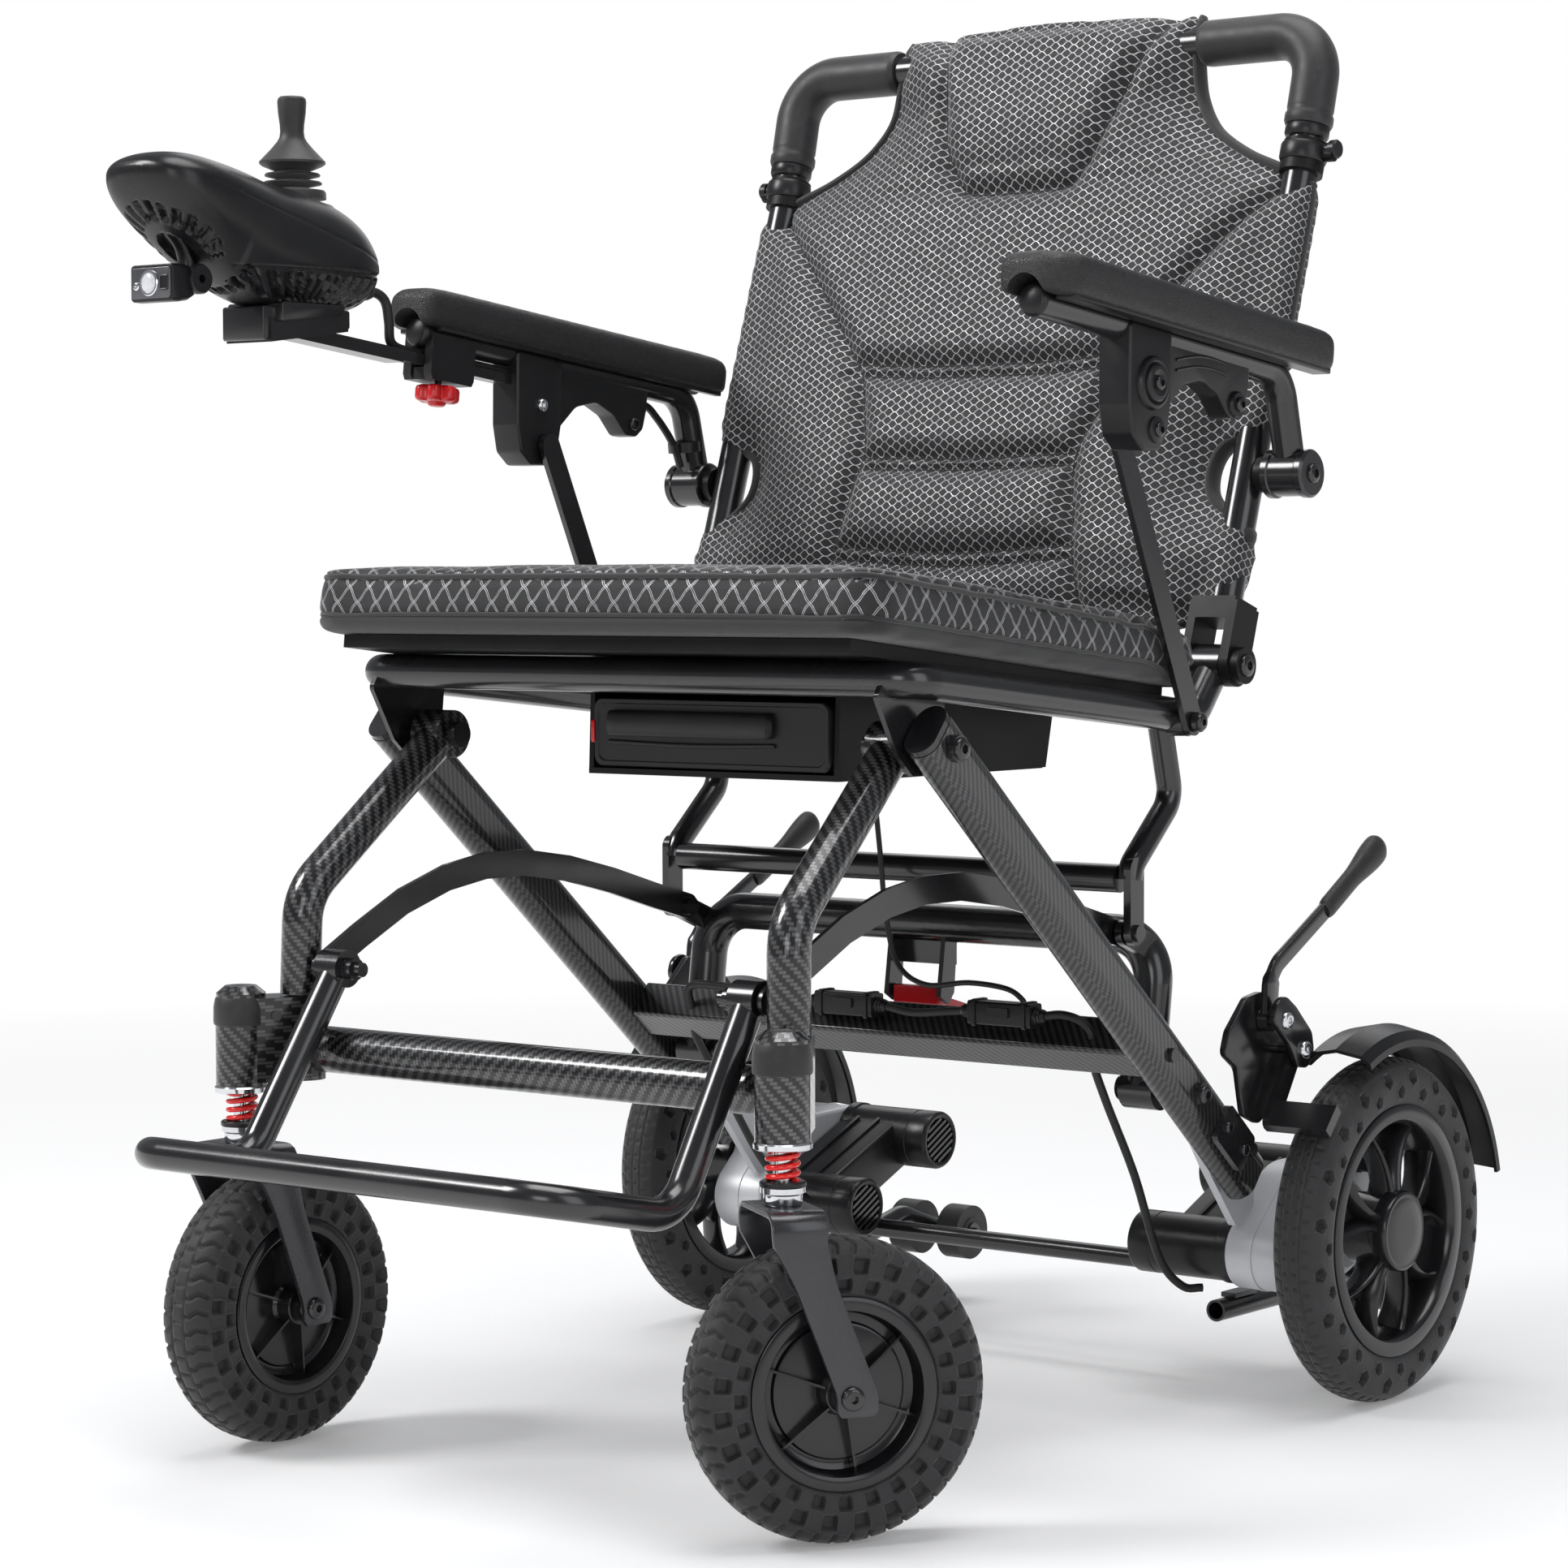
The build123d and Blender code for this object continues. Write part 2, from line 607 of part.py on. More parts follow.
for s, side in SIDES.items():
    with BuildPart() as arm_pad:
        plate(s * 250.2, s * 303, arm.box((-14, 336), (3, 31)), corner=4)
        mid_z = arm.point(160, 20)[2]
        fillet([e for e in arm_pad.edges() if e.length > 250 and e.center().Z > mid_z], 6)
        cut_arm_bore(s, -15, 340)
        bore_x = (s * (arm_x - arm_bore), s * (arm_x + arm_bore))
        plate(*bore_x, arm.box((-20, 350), (-12, 0)), CUT)
        # room for the bend of the tube
        plate(*bore_x, arm.box((270, 350), (-12, 12)), CUT)
    save(arm_pad, f"arm_pad_{side}")

bracket_edge = [(-150, 704), (-176, 700), (-246, 686), (-282, 684), (-294, 700), (-298, 740)]
knob_at = 25                               # slide knob's distance along the arm
for s, side in SIDES.items():
    with BuildPart() as arm_bracket:
        plate(s * 259, s * 285, arm.outline((112, -2), (252, -2)) + bracket_edge, corner=6)
        bar_x(s * 285, s * 291, (-275, 727), 16)
        bar_x(s * 285, s * 288, (-166, 715), 6)
        bar_x(s * 257.5, s * 262, arm_link_top, 7)
        cut_arm_bore(s, 60, 300)
        if side == "right":
            # clamp that holds the controller's bar under the arm tube, and its screw
            plate(ctrl_x - 14, ctrl_x + 14, arm.box((6, 44), (-32, -2)), corner=3)
            plate(ctrl_x - 6.3, ctrl_x + 6.3, arm.box((0, 50), (-24.3, -16.2)), CUT)
            cut_arm_bore(s, -10, 60)
            bar(arm.point(knob_at, -50, ctrl_x), arm.across, 3, 20)
    save(arm_bracket, f"arm_bracket_{side}")

for s, side in SIDES.items():
    with BuildPart() as arm_link:
        strap(s * 252.5, s * 257, [arm_link_base, arm_link_top], 19)
        bar_x(s * 251, s * 258, arm_link_base, small_pin + fit, CUT)
    save(arm_link, f"arm_link_{side}")

# ======================= controller ======================================
with BuildPart() as controller_slide:
    # flat bar that telescopes under the right arm tube, with its bracket
    plate(ctrl_x - 9, ctrl_x + 9, arm.box((-136, -22), (-26, -16.5)))
    plate(ctrl_x - 6, ctrl_x + 6, arm.box((-22, 96), (-24, -16.5)))
    plate(ctrl_x - 22, ctrl_x + 22, [(-566, 762), (-490, 772), (-490, 783), (-566, 779)])
save(controller_slide, "controller_slide")

with BuildPart() as slide_knob:
    with BuildSketch(plane_at(arm.point(knob_at, -48, ctrl_x), arm.across)) as lobes:
        Circle(12.5)
        with PolarLocations(14, 6):
            Circle(4)
    extrude(lobes.sketch, amount=14)
    bar(arm.point(knob_at, -50.2, ctrl_x), arm.across, 3 + fit, 20, CUT)
save(slide_knob, "slide_knob")

shell_half_w = 43
shell_side = [
    (-454, 829), (-457, 812), (-476, 790), (-500, 784), (-574, 784),
    (-604, 798), (-640, 816), (-668, 858), (-674, 874), (-666, 884),
    (-648, 886), (-600, 880), (-560, 868), (-520, 866), (-470, 842),
]
stick_y, stick_z = -522, 868               # centre of the joystick ball
stick_centre = (ctrl_x, stick_y, stick_z)
button_tilt = -9
shell_pin, ring_pin = 3, 2.5               # gimbal pin radii, along X and along Y
with BuildPart() as controller_shell:
    plate(ctrl_x - shell_half_w, ctrl_x + shell_half_w, shell_side)
    fillet([e for e in controller_shell.edges()
            if abs(abs(e.center().X - ctrl_x) - shell_half_w) < 0.5], 9)
    # well for the joystick, pocket for the power button, gimbal pins
    with Locations((ctrl_x, stick_y, 869)):
        Cylinder(24, 44, mode=CUT)
    with Locations(Location((ctrl_x, -620, 882), (button_tilt, 0, 0))):
        Cylinder(7.2, 10, mode=CUT)
    for k in (1, -1):
        bar_x(ctrl_x + k * 24.5, ctrl_x + k * 18.5, (stick_y, stick_z), shell_pin)
save(controller_shell, "controller_shell")

with BuildPart() as power_button:
    with Locations(Location((ctrl_x, -619.7, 883.9), (button_tilt, 0, 0))):
        Cylinder(7, 5)
save(power_button, "power_button")

with BuildPart() as joystick_gimbal:
    with Locations(stick_centre):
        Cylinder(16, 8)
        Cylinder(12, 9, mode=CUT)
    # bores for the shell's pins; stubs outwards, then inwards to the ball
    for k in (1, -1):
        bar_x(ctrl_x + k * 18.8, ctrl_x + k * 10, (stick_y, stick_z), shell_pin + fit, CUT)
        with Locations(Location((ctrl_x, stick_y + k * 12.5, stick_z), (-90 * k, 0, 0))):
            Cylinder(ring_pin, 4, align=FROM_BASE)
    for k in (1, -1):
        with Locations(Location((ctrl_x, stick_y + k * 13.5, stick_z), (90 * k, 0, 0))):
            Cylinder(ring_pin, 4.5, align=FROM_BASE)
save(joystick_gimbal, "joystick_gimbal")

# Flared boot and neck: (z of base, bottom radius, top radius, height)
boot_cones = [(882, 14, 22, 7), (889, 22, 11, 14), (903, 11, 9, 12)]
with BuildPart() as joystick:
    # ball in the gimbal, shaft, boot and grip
    with Locations(stick_centre):
        Sphere(8.3)
    for k in (1, -1):
        with Locations(Location(stick_centre, (90 * k, 0, 0))):
            Cylinder(ring_pin + fit, 12, align=FROM_BASE, mode=CUT)
    with Locations((ctrl_x, stick_y, 872)):
        Cylinder(5, 12, align=FROM_BASE)
    for z, bottom, top, height in boot_cones:
        with Locations((ctrl_x, stick_y, z)):
            Cone(bottom, top, height, align=FROM_BASE)
    with Locations((ctrl_x, stick_y, 915)):
        Cylinder(10, 20, align=FROM_BASE)
save(joystick, "joystick")

with BuildPart() as headlamp:
    bar_x(ctrl_x - 13, ctrl_x + 13, (-632, 796), 6)
    plate(ctrl_x - 20, ctrl_x + 20,
          [(-656, 786), (-632, 788), (-628, 806), (-640, 811), (-656, 808)], corner=3)
save(headlamp, "headlamp")

# ======================= folding linkage =================================
support_x = 206.5
with BuildPart() as rear_support:
    # H frame: two side tubes hung under the seat and one cross tube
    for s in SIDES:
        tube([(s * support_x, *support_hinge), (s * support_x, -130, 440),
              (s * support_x, -182, 394), (s * support_x, -183, 385.5)], 9, bend=20)
        bar_x(s * 203, s * 216.5, support_hinge, 12)
        strap(s * 207, s * 213, [(-183, 393), link_joint], 17)
        bar_x(s * 213, s * 216, link_joint, 6)
    bar_x(-199, 199, (-183, 386), 10)
    for s in SIDES:
        bar_x(s * 195, s * 217, support_hinge, small_pin + fit, CUT)
save(rear_support, "rear_support")

pedal_stay = [(-152, 345), (-138, 345), (-143, 292), (-150, 284), (-160, 290)]
with BuildPart() as u_link:
    tube(both_sides((203, *link_pivot), (203, -143, 343)), leg_r, bend=34)
    for s in SIDES:
        bar_x(s * 189, s * 217, link_pivot, leg_r)
        # lug towards the joint with the rear support
        strap(s * 199.6, s * 205, [(-150, 335), link_joint], 18)
    # stay for the release pedal: two cheeks, a web and the pin
    for x in (-26, 22):
        plate(x, x + 4, pedal_stay)
    plate(-24, 24, [(-141, 340), (-137, 340), (-137, 312), (-141, 312)])
    bar_x(-26, 26, pedal_pivot, pedal_pin)
    for s in SIDES:
        bar_x(s * 187, s * 219, link_pivot, large_pin + fit, CUT)
save(u_link, "u_link")

link_curve = [
    foot_pivot, (-541, 351), (-497, 372), (-452, 386), (-412, 392),
    (-370, 392), (-322, 385), (-272, 373), (-224, 359), link_joint,
]
with BuildPart() as curved_links:
    for s in SIDES:
        strap(s * 193.3, s * 196.9, link_curve, 19)
        bar_x(s * 190, s * 193.4, link_joint, 7)
    for s in SIDES:
        bar_x(s * 192, s * 198, foot_pivot, small_pin + fit, CUT)
save(curved_links, "curved_links")

with BuildPart() as fold_pedal:
    # hub, tread and bore
    plate(-20, 20, [(-156, 283), (-146, 283), (-144, 290), (-148, 296.5), (-156, 296.5)],
          corner=1.5)
    plate(-20, 20, [(-152, 284), (-104, 272), (-103, 277), (-150, 290)])
    bar_x(-21, 21, pedal_pivot, pedal_pin + fit, CUT)
save(fold_pedal, "fold_pedal")

# ======================= footrest ========================================
with BuildPart() as footrest:
    tube(both_sides((181, *foot_pivot), (186, -660, 205), (183, -768, 228)),
         10.5, bend=34, wall=2)
    for s in SIDES:
        # eye, its bore and the recess for the nut
        bar_x(s * 171, s * 191.5, foot_pivot, 13)
        bar_x(s * 165, s * 193, foot_pivot, small_pin + fit, CUT)
        bar_x(s * 162, s * 171, foot_pivot, 8, CUT)
save(footrest, "footrest")

# ======================= parking brakes ==================================
lever_knee = (-88, 318)
for s, side in SIDES.items():
    with BuildPart() as brake_lever:
        strap(s * 262, s * 267, [brake_lever_pivot, lever_knee], 15)
        strap(s * 262, s * 267, [lever_knee, (-10, 358)], 12)
        # round grip
        bar((s * 264.5, -14, 356), (0, 0.874, 0.486), 10, 88)
        bar_x(s * 260, s * 268, brake_lever_pivot, small_pin + fit, CUT)
    save(brake_lever, f"brake_lever_{side}")

for s, side in SIDES.items():
    with BuildPart() as brake_shoe:
        strap(s * 268.5, s * 273.5, [brake_shoe_pivot, (-99, 212)], 15)
        block((s * 296, -98.6, 215.3), (52, 8, 22), -42.5)
        bar_x(s * 267, s * 276, brake_shoe_pivot, small_pin + fit, CUT)
    save(brake_shoe, f"brake_shoe_{side}")
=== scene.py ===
"""Powered folding wheelchair with carbon tubes, net upholstery and a joystick.

Lengths are in millimetres: x runs across the chair (left is +x), y runs from front (-) to
back (+) with y = 0 at the rear axle, and z is up from the ground. mesh_obj converts to metres
and moves the axle to its place in the frame.
"""

import bpy
import bmesh
import json
import numpy as np
from math import sin, cos, tan, pi, radians, sqrt
from mathutils import Vector, Matrix
from mathutils.bvhtree import BVHTree


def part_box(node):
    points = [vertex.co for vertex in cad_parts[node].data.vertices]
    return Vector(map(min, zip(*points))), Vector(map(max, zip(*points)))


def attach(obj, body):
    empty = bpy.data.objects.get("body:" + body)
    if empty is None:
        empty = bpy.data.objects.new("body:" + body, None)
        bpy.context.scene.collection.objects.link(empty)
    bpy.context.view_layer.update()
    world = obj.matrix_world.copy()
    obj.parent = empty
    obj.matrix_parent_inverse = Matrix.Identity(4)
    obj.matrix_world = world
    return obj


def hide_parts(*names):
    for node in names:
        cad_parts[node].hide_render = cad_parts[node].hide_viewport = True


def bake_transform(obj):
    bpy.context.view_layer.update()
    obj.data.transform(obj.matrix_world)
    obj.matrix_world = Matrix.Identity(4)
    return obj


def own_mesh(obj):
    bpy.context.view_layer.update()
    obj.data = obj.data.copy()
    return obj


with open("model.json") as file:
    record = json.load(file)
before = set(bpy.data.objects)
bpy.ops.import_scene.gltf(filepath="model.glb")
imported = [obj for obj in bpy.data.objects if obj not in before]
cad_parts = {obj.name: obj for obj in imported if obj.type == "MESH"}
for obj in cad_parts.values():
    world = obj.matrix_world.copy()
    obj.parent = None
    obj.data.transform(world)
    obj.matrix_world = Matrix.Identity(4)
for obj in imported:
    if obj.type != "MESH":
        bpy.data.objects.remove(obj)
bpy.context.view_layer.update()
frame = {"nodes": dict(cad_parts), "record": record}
MM = 0.001
SIDES = (("left", 1), ("right", -1))
X_AXIS = np.array([1.0, 0, 0])
Z_AXIS = np.array([0, 0, 1.0])
scene = bpy.context.scene

tyre_low, tyre_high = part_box("rear_tyre_left")
OFFSET = np.array([0.0, round((tyre_low[1] + tyre_high[1]) / 2 / MM, 2), 0.0])
AXLE_Y = float(OFFSET[1]) * MM      # place of the rear axle in the frame, metres

# driving places
CASTER_X, CASTER_Y = 236.2, -615    # swivel axes, at plus and minus x
FRONT_RADIUS, FRONT_TRAIL = 96, 32.8
REAR_RADIUS, REAR_X = 125.0, 301.3
RAIL_X = 237                        # sloping side rails: upper end and run to the lower end
RAIL_TOP_Y, RAIL_TOP_Z = -463, 497.5
RAIL_RUN_Y, RAIL_DROP = 383, 330.8
CONTROL_X = -272.0                  # middle of the joystick controller


# ------------------------------------------------------------------ mesh objects
def mesh_obj(name, shape, mat=None, smooth=True, sharp=38.0):
    """An object from (verts, faces) in millimetres."""
    verts, faces = shape
    mesh = bpy.data.meshes.new(name)
    mesh.from_pydata([tuple(float(c + o) * MM for c, o in zip(v, OFFSET)) for v in verts],
                     [], [tuple(f) for f in faces])
    mesh.update()
    bm = bmesh.new()
    bm.from_mesh(mesh)
    bmesh.ops.recalc_face_normals(bm, faces=bm.faces)
    bm.to_mesh(mesh)
    bm.free()
    ob = bpy.data.objects.new(name, mesh)
    scene.collection.objects.link(ob)
    if smooth:
        shade(ob, sharp)
    if mat is not None:
        mesh.materials.append(mat)
    return ob


def shade(ob, angle=38.0):
    """Smooth shading with sharp edges above the angle."""
    mesh = ob.data
    mesh.polygons.foreach_set("use_smooth", np.ones(len(mesh.polygons), bool))
    bm = bmesh.new()
    bm.from_mesh(mesh)
    limit = radians(angle)
    for edge in bm.edges:
        edge.smooth = len(edge.link_faces) == 2 and edge.calc_face_angle(0.0) < limit
    bm.to_mesh(mesh)
    bm.free()
    mesh.update()


def place(ob, body, slot, *nodes):
    """Ties a piece to the body it moves with and hides the CAD nodes it replaces; slot is not used.
    """
    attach(ob, body)
    if nodes:
        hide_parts(*nodes)
    return ob


def part(name, shape, mat, body, slot, *nodes, sharp=38.0, bevel=None):
    """Makes and places a piece; bevel holds the arguments of bevelled."""
    ob = mesh_obj(name, shape, mat, sharp=sharp)
    if bevel:
        bevelled(ob, *bevel)
    return place(ob, body, slot, *nodes)


def join(parts):
    """Joins several (verts, faces) into one."""
    verts, faces = [], []
    for part_verts, part_faces in parts:
        start = len(verts)
        verts += [tuple(p) for p in part_verts]
        faces += [tuple(i + start for i in face) for face in part_faces]
    return verts, faces


def apply_modifiers(ob):
    graph = bpy.context.evaluated_depsgraph_get()
    graph.update()
    mesh = bpy.data.meshes.new_from_object(ob.evaluated_get(graph),
                                           preserve_all_data_layers=True, depsgraph=graph)
    ob.modifiers.clear()
    old = ob.data
    ob.data = mesh
    bpy.data.meshes.remove(old)
    return ob


def bevelled(ob, width, segs=2, angle=35.0, sharp=38.0):
    mod = ob.modifiers.new("b", "BEVEL")
    mod.width = width * MM
    mod.segments = segs
    mod.limit_method = "ANGLE"
    mod.angle_limit = radians(angle)
    mod.harden_normals = False
    apply_modifiers(ob)
    shade(ob, sharp)
    return ob


def bevelled_shape(shape, width, segs=2, angle=35.0):
    """A shape with its edges bevelled, for joining with others."""
    ob = bevelled(mesh_obj("rounding", shape), width, segs, angle)
    rounded = coords(ob), [tuple(p.vertices) for p in ob.data.polygons]
    bpy.data.objects.remove(ob)
    return rounded


def coords(ob):
    flat = np.zeros(len(ob.data.vertices) * 3)
    ob.data.vertices.foreach_get("co", flat)
    return flat.reshape(-1, 3) / MM - OFFSET


def set_coords(ob, points):
    ob.data.vertices.foreach_set("co", ((np.asarray(points) + OFFSET) * MM).ravel())
    ob.data.update()


def face_data(ob):
    """Face normals, and face centres in millimetres."""
    polygons = ob.data.polygons
    normals = np.zeros(len(polygons) * 3)
    polygons.foreach_get("normal", normals)
    centres = np.zeros(len(polygons) * 3)
    polygons.foreach_get("center", centres)
    return normals.reshape(-1, 3), centres.reshape(-1, 3) / MM - OFFSET


def to_scene(point):
    return Vector(np.asarray(point) + OFFSET) * MM


def from_scene(location):
    return np.array(location) / MM - OFFSET


def surface_tree(ob):
    bm = bmesh.new()
    bm.from_mesh(ob.data)
    tree = BVHTree.FromBMesh(bm)
    bm.free()
    return tree


# ------------------------------------------------------------------ vectors and paths
def smoothstep(start, end, x):
    t = np.clip((x - start) / (end - start), 0, 1)
    return t * t * (3 - 2 * t)


def unit(v):
    v = np.asarray(v, float)
    return v / np.linalg.norm(v)


def cross_axes(axis):
    """Two unit vectors square to a unit axis, the first as near to z as it can be."""
    guide = Z_AXIS if abs(axis[2]) < 0.9 else X_AXIS
    first = unit(guide - (guide @ axis) * axis)
    return first, np.cross(axis, first)


def fillet_path(points, radius, steps=7, closed=False):
    """A polyline with rounded corners; radius is one number or one for each corner."""
    points = [np.array(p, float) for p in points]
    out = []
    count = len(points)
    for i in range(count):
        corner = points[i]
        if not closed and i in (0, count - 1):
            out.append(corner)
            continue
        before, after = points[i - 1], points[(i + 1) % count]
        wanted = radius[i] if isinstance(radius, (list, tuple)) else radius
        back_dir, on_dir = unit(before - corner), unit(after - corner)
        angle = np.arccos(np.clip(back_dir @ on_dir, -1, 1))
        if wanted <= 0 or angle > 3.12:
            out.append(corner)
            continue
        cut = min(wanted / tan(angle / 2), 0.49 * np.linalg.norm(before - corner),
                  0.49 * np.linalg.norm(after - corner))
        actual = cut * tan(angle / 2)
        centre = corner + unit(back_dir + on_dir) * actual / sin(angle / 2)
        arm1 = corner + back_dir * cut - centre
        arm2 = corner + on_dir * cut - centre
        arc = np.arccos(np.clip((arm1 @ arm2) / actual / actual, -1, 1))
        for k in range(steps + 1):
            t = k / steps
            out.append(centre + (sin((1 - t) * arc) * arm1 + sin(t * arc) * arm2)
                       / max(sin(arc), 1e-9))
    return np.array(out)


def rounded_rect(x0, x1, y0, y1, radius, steps):
    return fillet_path([(x0, y0), (x1, y0), (x1, y1), (x0, y1)], radius, steps, closed=True)


def catmull(points, steps):
    """A smooth curve through the points."""
    points = np.array(points, float)
    count = len(points)
    out = []
    for i in range(count - 1):
        p1, p2 = points[i], points[i + 1]
        p0 = points[i - 1] if i > 0 else 2 * points[0] - points[1]
        p3 = points[i + 2] if i + 2 < count else 2 * points[-1] - points[-2]
        for k in range(steps):
            t = k / steps
            out.append(0.5 * ((2 * p1) + (p2 - p0) * t + (2 * p0 - 5 * p1 + 4 * p2 - p3) * t * t
                              + (3 * p1 - p0 - 3 * p2 + p3) * t ** 3))
    out.append(points[-1])
    return np.array(out)


def resample(points, step, closed=False):
    points = np.array(points, float)
    if closed:
        points = np.vstack([points, points[:1]])
    run = np.r_[0, np.cumsum(np.linalg.norm(np.diff(points, axis=0), axis=1))]
    count = max(2, int(round(run[-1] / step)))
    wanted = np.linspace(0, run[-1], count + 1)
    out = np.stack([np.interp(wanted, run, points[:, k]) for k in range(points.shape[1])], 1)
    return out[:-1] if closed else out


def ellipse(half_a, half_b, count):
    turn = np.linspace(0, 2 * pi, count, endpoint=False)
    return np.stack([np.cos(turn) * half_a, np.sin(turn) * half_b], 1)


def dist_poly(points, poly, closed=False):
    """Distance of the points from a polyline, and the length along it at the nearest place."""
    poly = np.array(poly, float)
    if closed:
        poly = np.vstack([poly, poly[:1]])
    best = np.full(len(points), 1e9)
    along = np.zeros(len(points))
    done = 0.0
    for start, end in zip(poly[:-1], poly[1:]):
        step = end - start
        length = np.linalg.norm(step)
        if length < 1e-9:
            continue
        t = np.clip(((points - start) @ step) / (length * length), 0, 1)
        dist = np.linalg.norm(points - (start + t[:, None] * step), axis=1)
        along = np.where(dist < best, done + t * length, along)
        best = np.minimum(dist, best)
        done += length
    return best, along


# ------------------------------------------------------------------ shapes: (verts, faces)
def loft(rings, closed=False, caps_first=False):
    """Skins a row of equal rings; closed joins the last to the first, otherwise ends are capped."""
    count, segs = len(rings), len(rings[0])
    verts = [p for ring in rings for p in ring]
    faces = []
    for i in range(count if closed else count - 1):
        j = (i + 1) % count
        for k in range(segs):
            m = (k + 1) % segs
            faces.append((i * segs + k, i * segs + m, j * segs + m, j * segs + k))
    if closed:
        return verts, faces
    caps = [tuple(range(segs - 1, -1, -1)), tuple(range(len(verts) - segs, len(verts)))]
    return verts, (caps + faces if caps_first else faces + caps)


def sweep(path, radius, segs=20, closed=False, up=None, section=None):
    """A bar along a path. radius scales the section and is one number or one for each point."""
    path = np.array(path, float)
    count = len(path)
    radii = np.broadcast_to(radius, count)
    section = ellipse(1.0, 1.0, segs) if section is None else section
    rings = []
    for i in range(count):
        if closed:
            tangent = unit(path[(i + 1) % count] - path[i - 1])
        else:
            tangent = unit(path[min(i + 1, count - 1)] - path[max(i - 1, 0)])
        if up is not None:
            guide = np.array(up, float)
        elif i == 0:
            guide = cross_axes(tangent)[0]
        else:
            guide = normal
        normal = unit(guide - (guide @ tangent) * tangent)
        side = np.cross(tangent, normal)
        rings.append([path[i] + radii[i] * (a * normal + b * side) for a, b in section])
    return loft(rings, closed)


def lathe(profile, origin, axis, segs, closed=True):
    """Turns (place along axis, radius) pairs; closed joins the last to the first.
    A radius of 0 makes a tip."""
    axis = unit(axis)
    side, other = cross_axes(axis)
    origin = np.array(origin, float)
    verts, rings = [], []
    for a, radius in profile:
        count = 1 if abs(radius) < 1e-6 else segs
        rings.append(range(len(verts), len(verts) + count))
        for k in range(count):
            turn = 2 * pi * k / segs
            verts.append(origin + axis * a + radius * (cos(turn) * side + sin(turn) * other))
    faces = []
    for i in range(len(profile) if closed else len(profile) - 1):
        low, high = rings[i], rings[(i + 1) % len(profile)]
        if len(low) == 1 and len(high) == 1:
            continue
        for k in range(segs):
            m = (k + 1) % segs
            if len(low) == 1:
                faces.append((low[0], high[m], high[k]))
            elif len(high) == 1:
                faces.append((low[k], low[m], high[0]))
            else:
                faces.append((low[k], low[m], high[m], high[k]))
    return verts, faces


def solid(profile, origin, axis, segs):
    """A turned solid, closed at both ends on its axis."""
    profile = list(profile)
    if profile[0][1] > 1e-6:
        profile = [(profile[0][0], 0.0)] + profile
    if profile[-1][1] > 1e-6:
        profile = profile + [(profile[-1][0], 0.0)]
    return lathe(profile, origin, axis, segs, closed=False)


def mirrored_profile(half):
    """A lathe profile followed by its mirror image about 0 on the axis."""
    return half + [(-a, radius) for a, radius in half[::-1]]


def prism(outline, origin, dir_a, dir_b, rise_dir, height):
    """An outline in (dir_a, dir_b) from the origin, with its thickness along rise_dir."""
    origin, dir_a, dir_b, rise_dir = (np.array(v, float)
                                      for v in (origin, dir_a, dir_b, rise_dir))
    low = [origin + dir_a * a + dir_b * b for a, b in outline]
    high = [origin + dir_a * a + dir_b * b + rise_dir * height for a, b in outline]
    return loft([low, high], caps_first=True)


def yz_plate(x0, x1, points, radius=0, steps=5):
    """A plate of (y, z) points between two places across the chair."""
    outline = fillet_path(points, radius, steps, closed=True) if radius else points
    return prism(outline, (min(x0, x1), 0, 0), (0, 1, 0), Z_AXIS, X_AXIS, abs(x1 - x0))


def side_prism(outline, x0, depth, sign):
    """A (y, z) outline that runs outwards from x0 on one side."""
    return prism(outline, (sign * x0, 0, 0), (0, 1, 0), Z_AXIS, (sign, 0, 0), depth)


def hexbolt(base, direction, radius, height, socket):
    """A button head with a hexagon socket; its foot is at base."""
    direction = unit(direction)
    side, other = cross_axes(direction)
    base = np.array(base, float)
    turns = [2 * pi * k / 24 for k in range(24)]

    def ring(rise, radius_at):
        return [base + direction * rise + radius_at(t) * (cos(t) * side + sin(t) * other)
                for t in turns]

    def hexagon(turn):
        return socket / cos((turn % (pi / 3)) - pi / 6)
    # share of the height, share of the radius
    dome = ((0, 1), (0.35, 1), (0.72, 0.93), (0.93, 0.78), (1, 0.62))
    rings = [ring(height * rise, lambda t, r=radius * share: r) for rise, share in dome]
    rings += [ring(height, hexagon), ring(height * 0.25, hexagon)]
    return loft(rings)


def bolts(name, body, items, mat, slot):
    """items: (base, direction, radius, height, socket) rows"""
    return part(name, join([hexbolt(*item) for item in items]), mat, body, slot)


# ------------------------------------------------------------------ texture coordinates
def set_uv(ob, uv_of):
    """uv_of(loop positions, face of each loop, face normals, face centres) gives millimetres."""
    mesh = ob.data
    vertex_of = np.zeros(len(mesh.loops), np.int32)
    mesh.loops.foreach_get("vertex_index", vertex_of)
    totals = np.zeros(len(mesh.polygons), np.int32)
    mesh.polygons.foreach_get("loop_total", totals)
    face_of = np.repeat(np.arange(len(totals)), totals)
    uv = uv_of(coords(ob)[vertex_of], face_of, *face_data(ob))
    layer = mesh.uv_layers.get("UVMap") or mesh.uv_layers.new(name="UVMap")
    layer.data.foreach_set("uv", np.asarray(uv, np.float32).ravel())


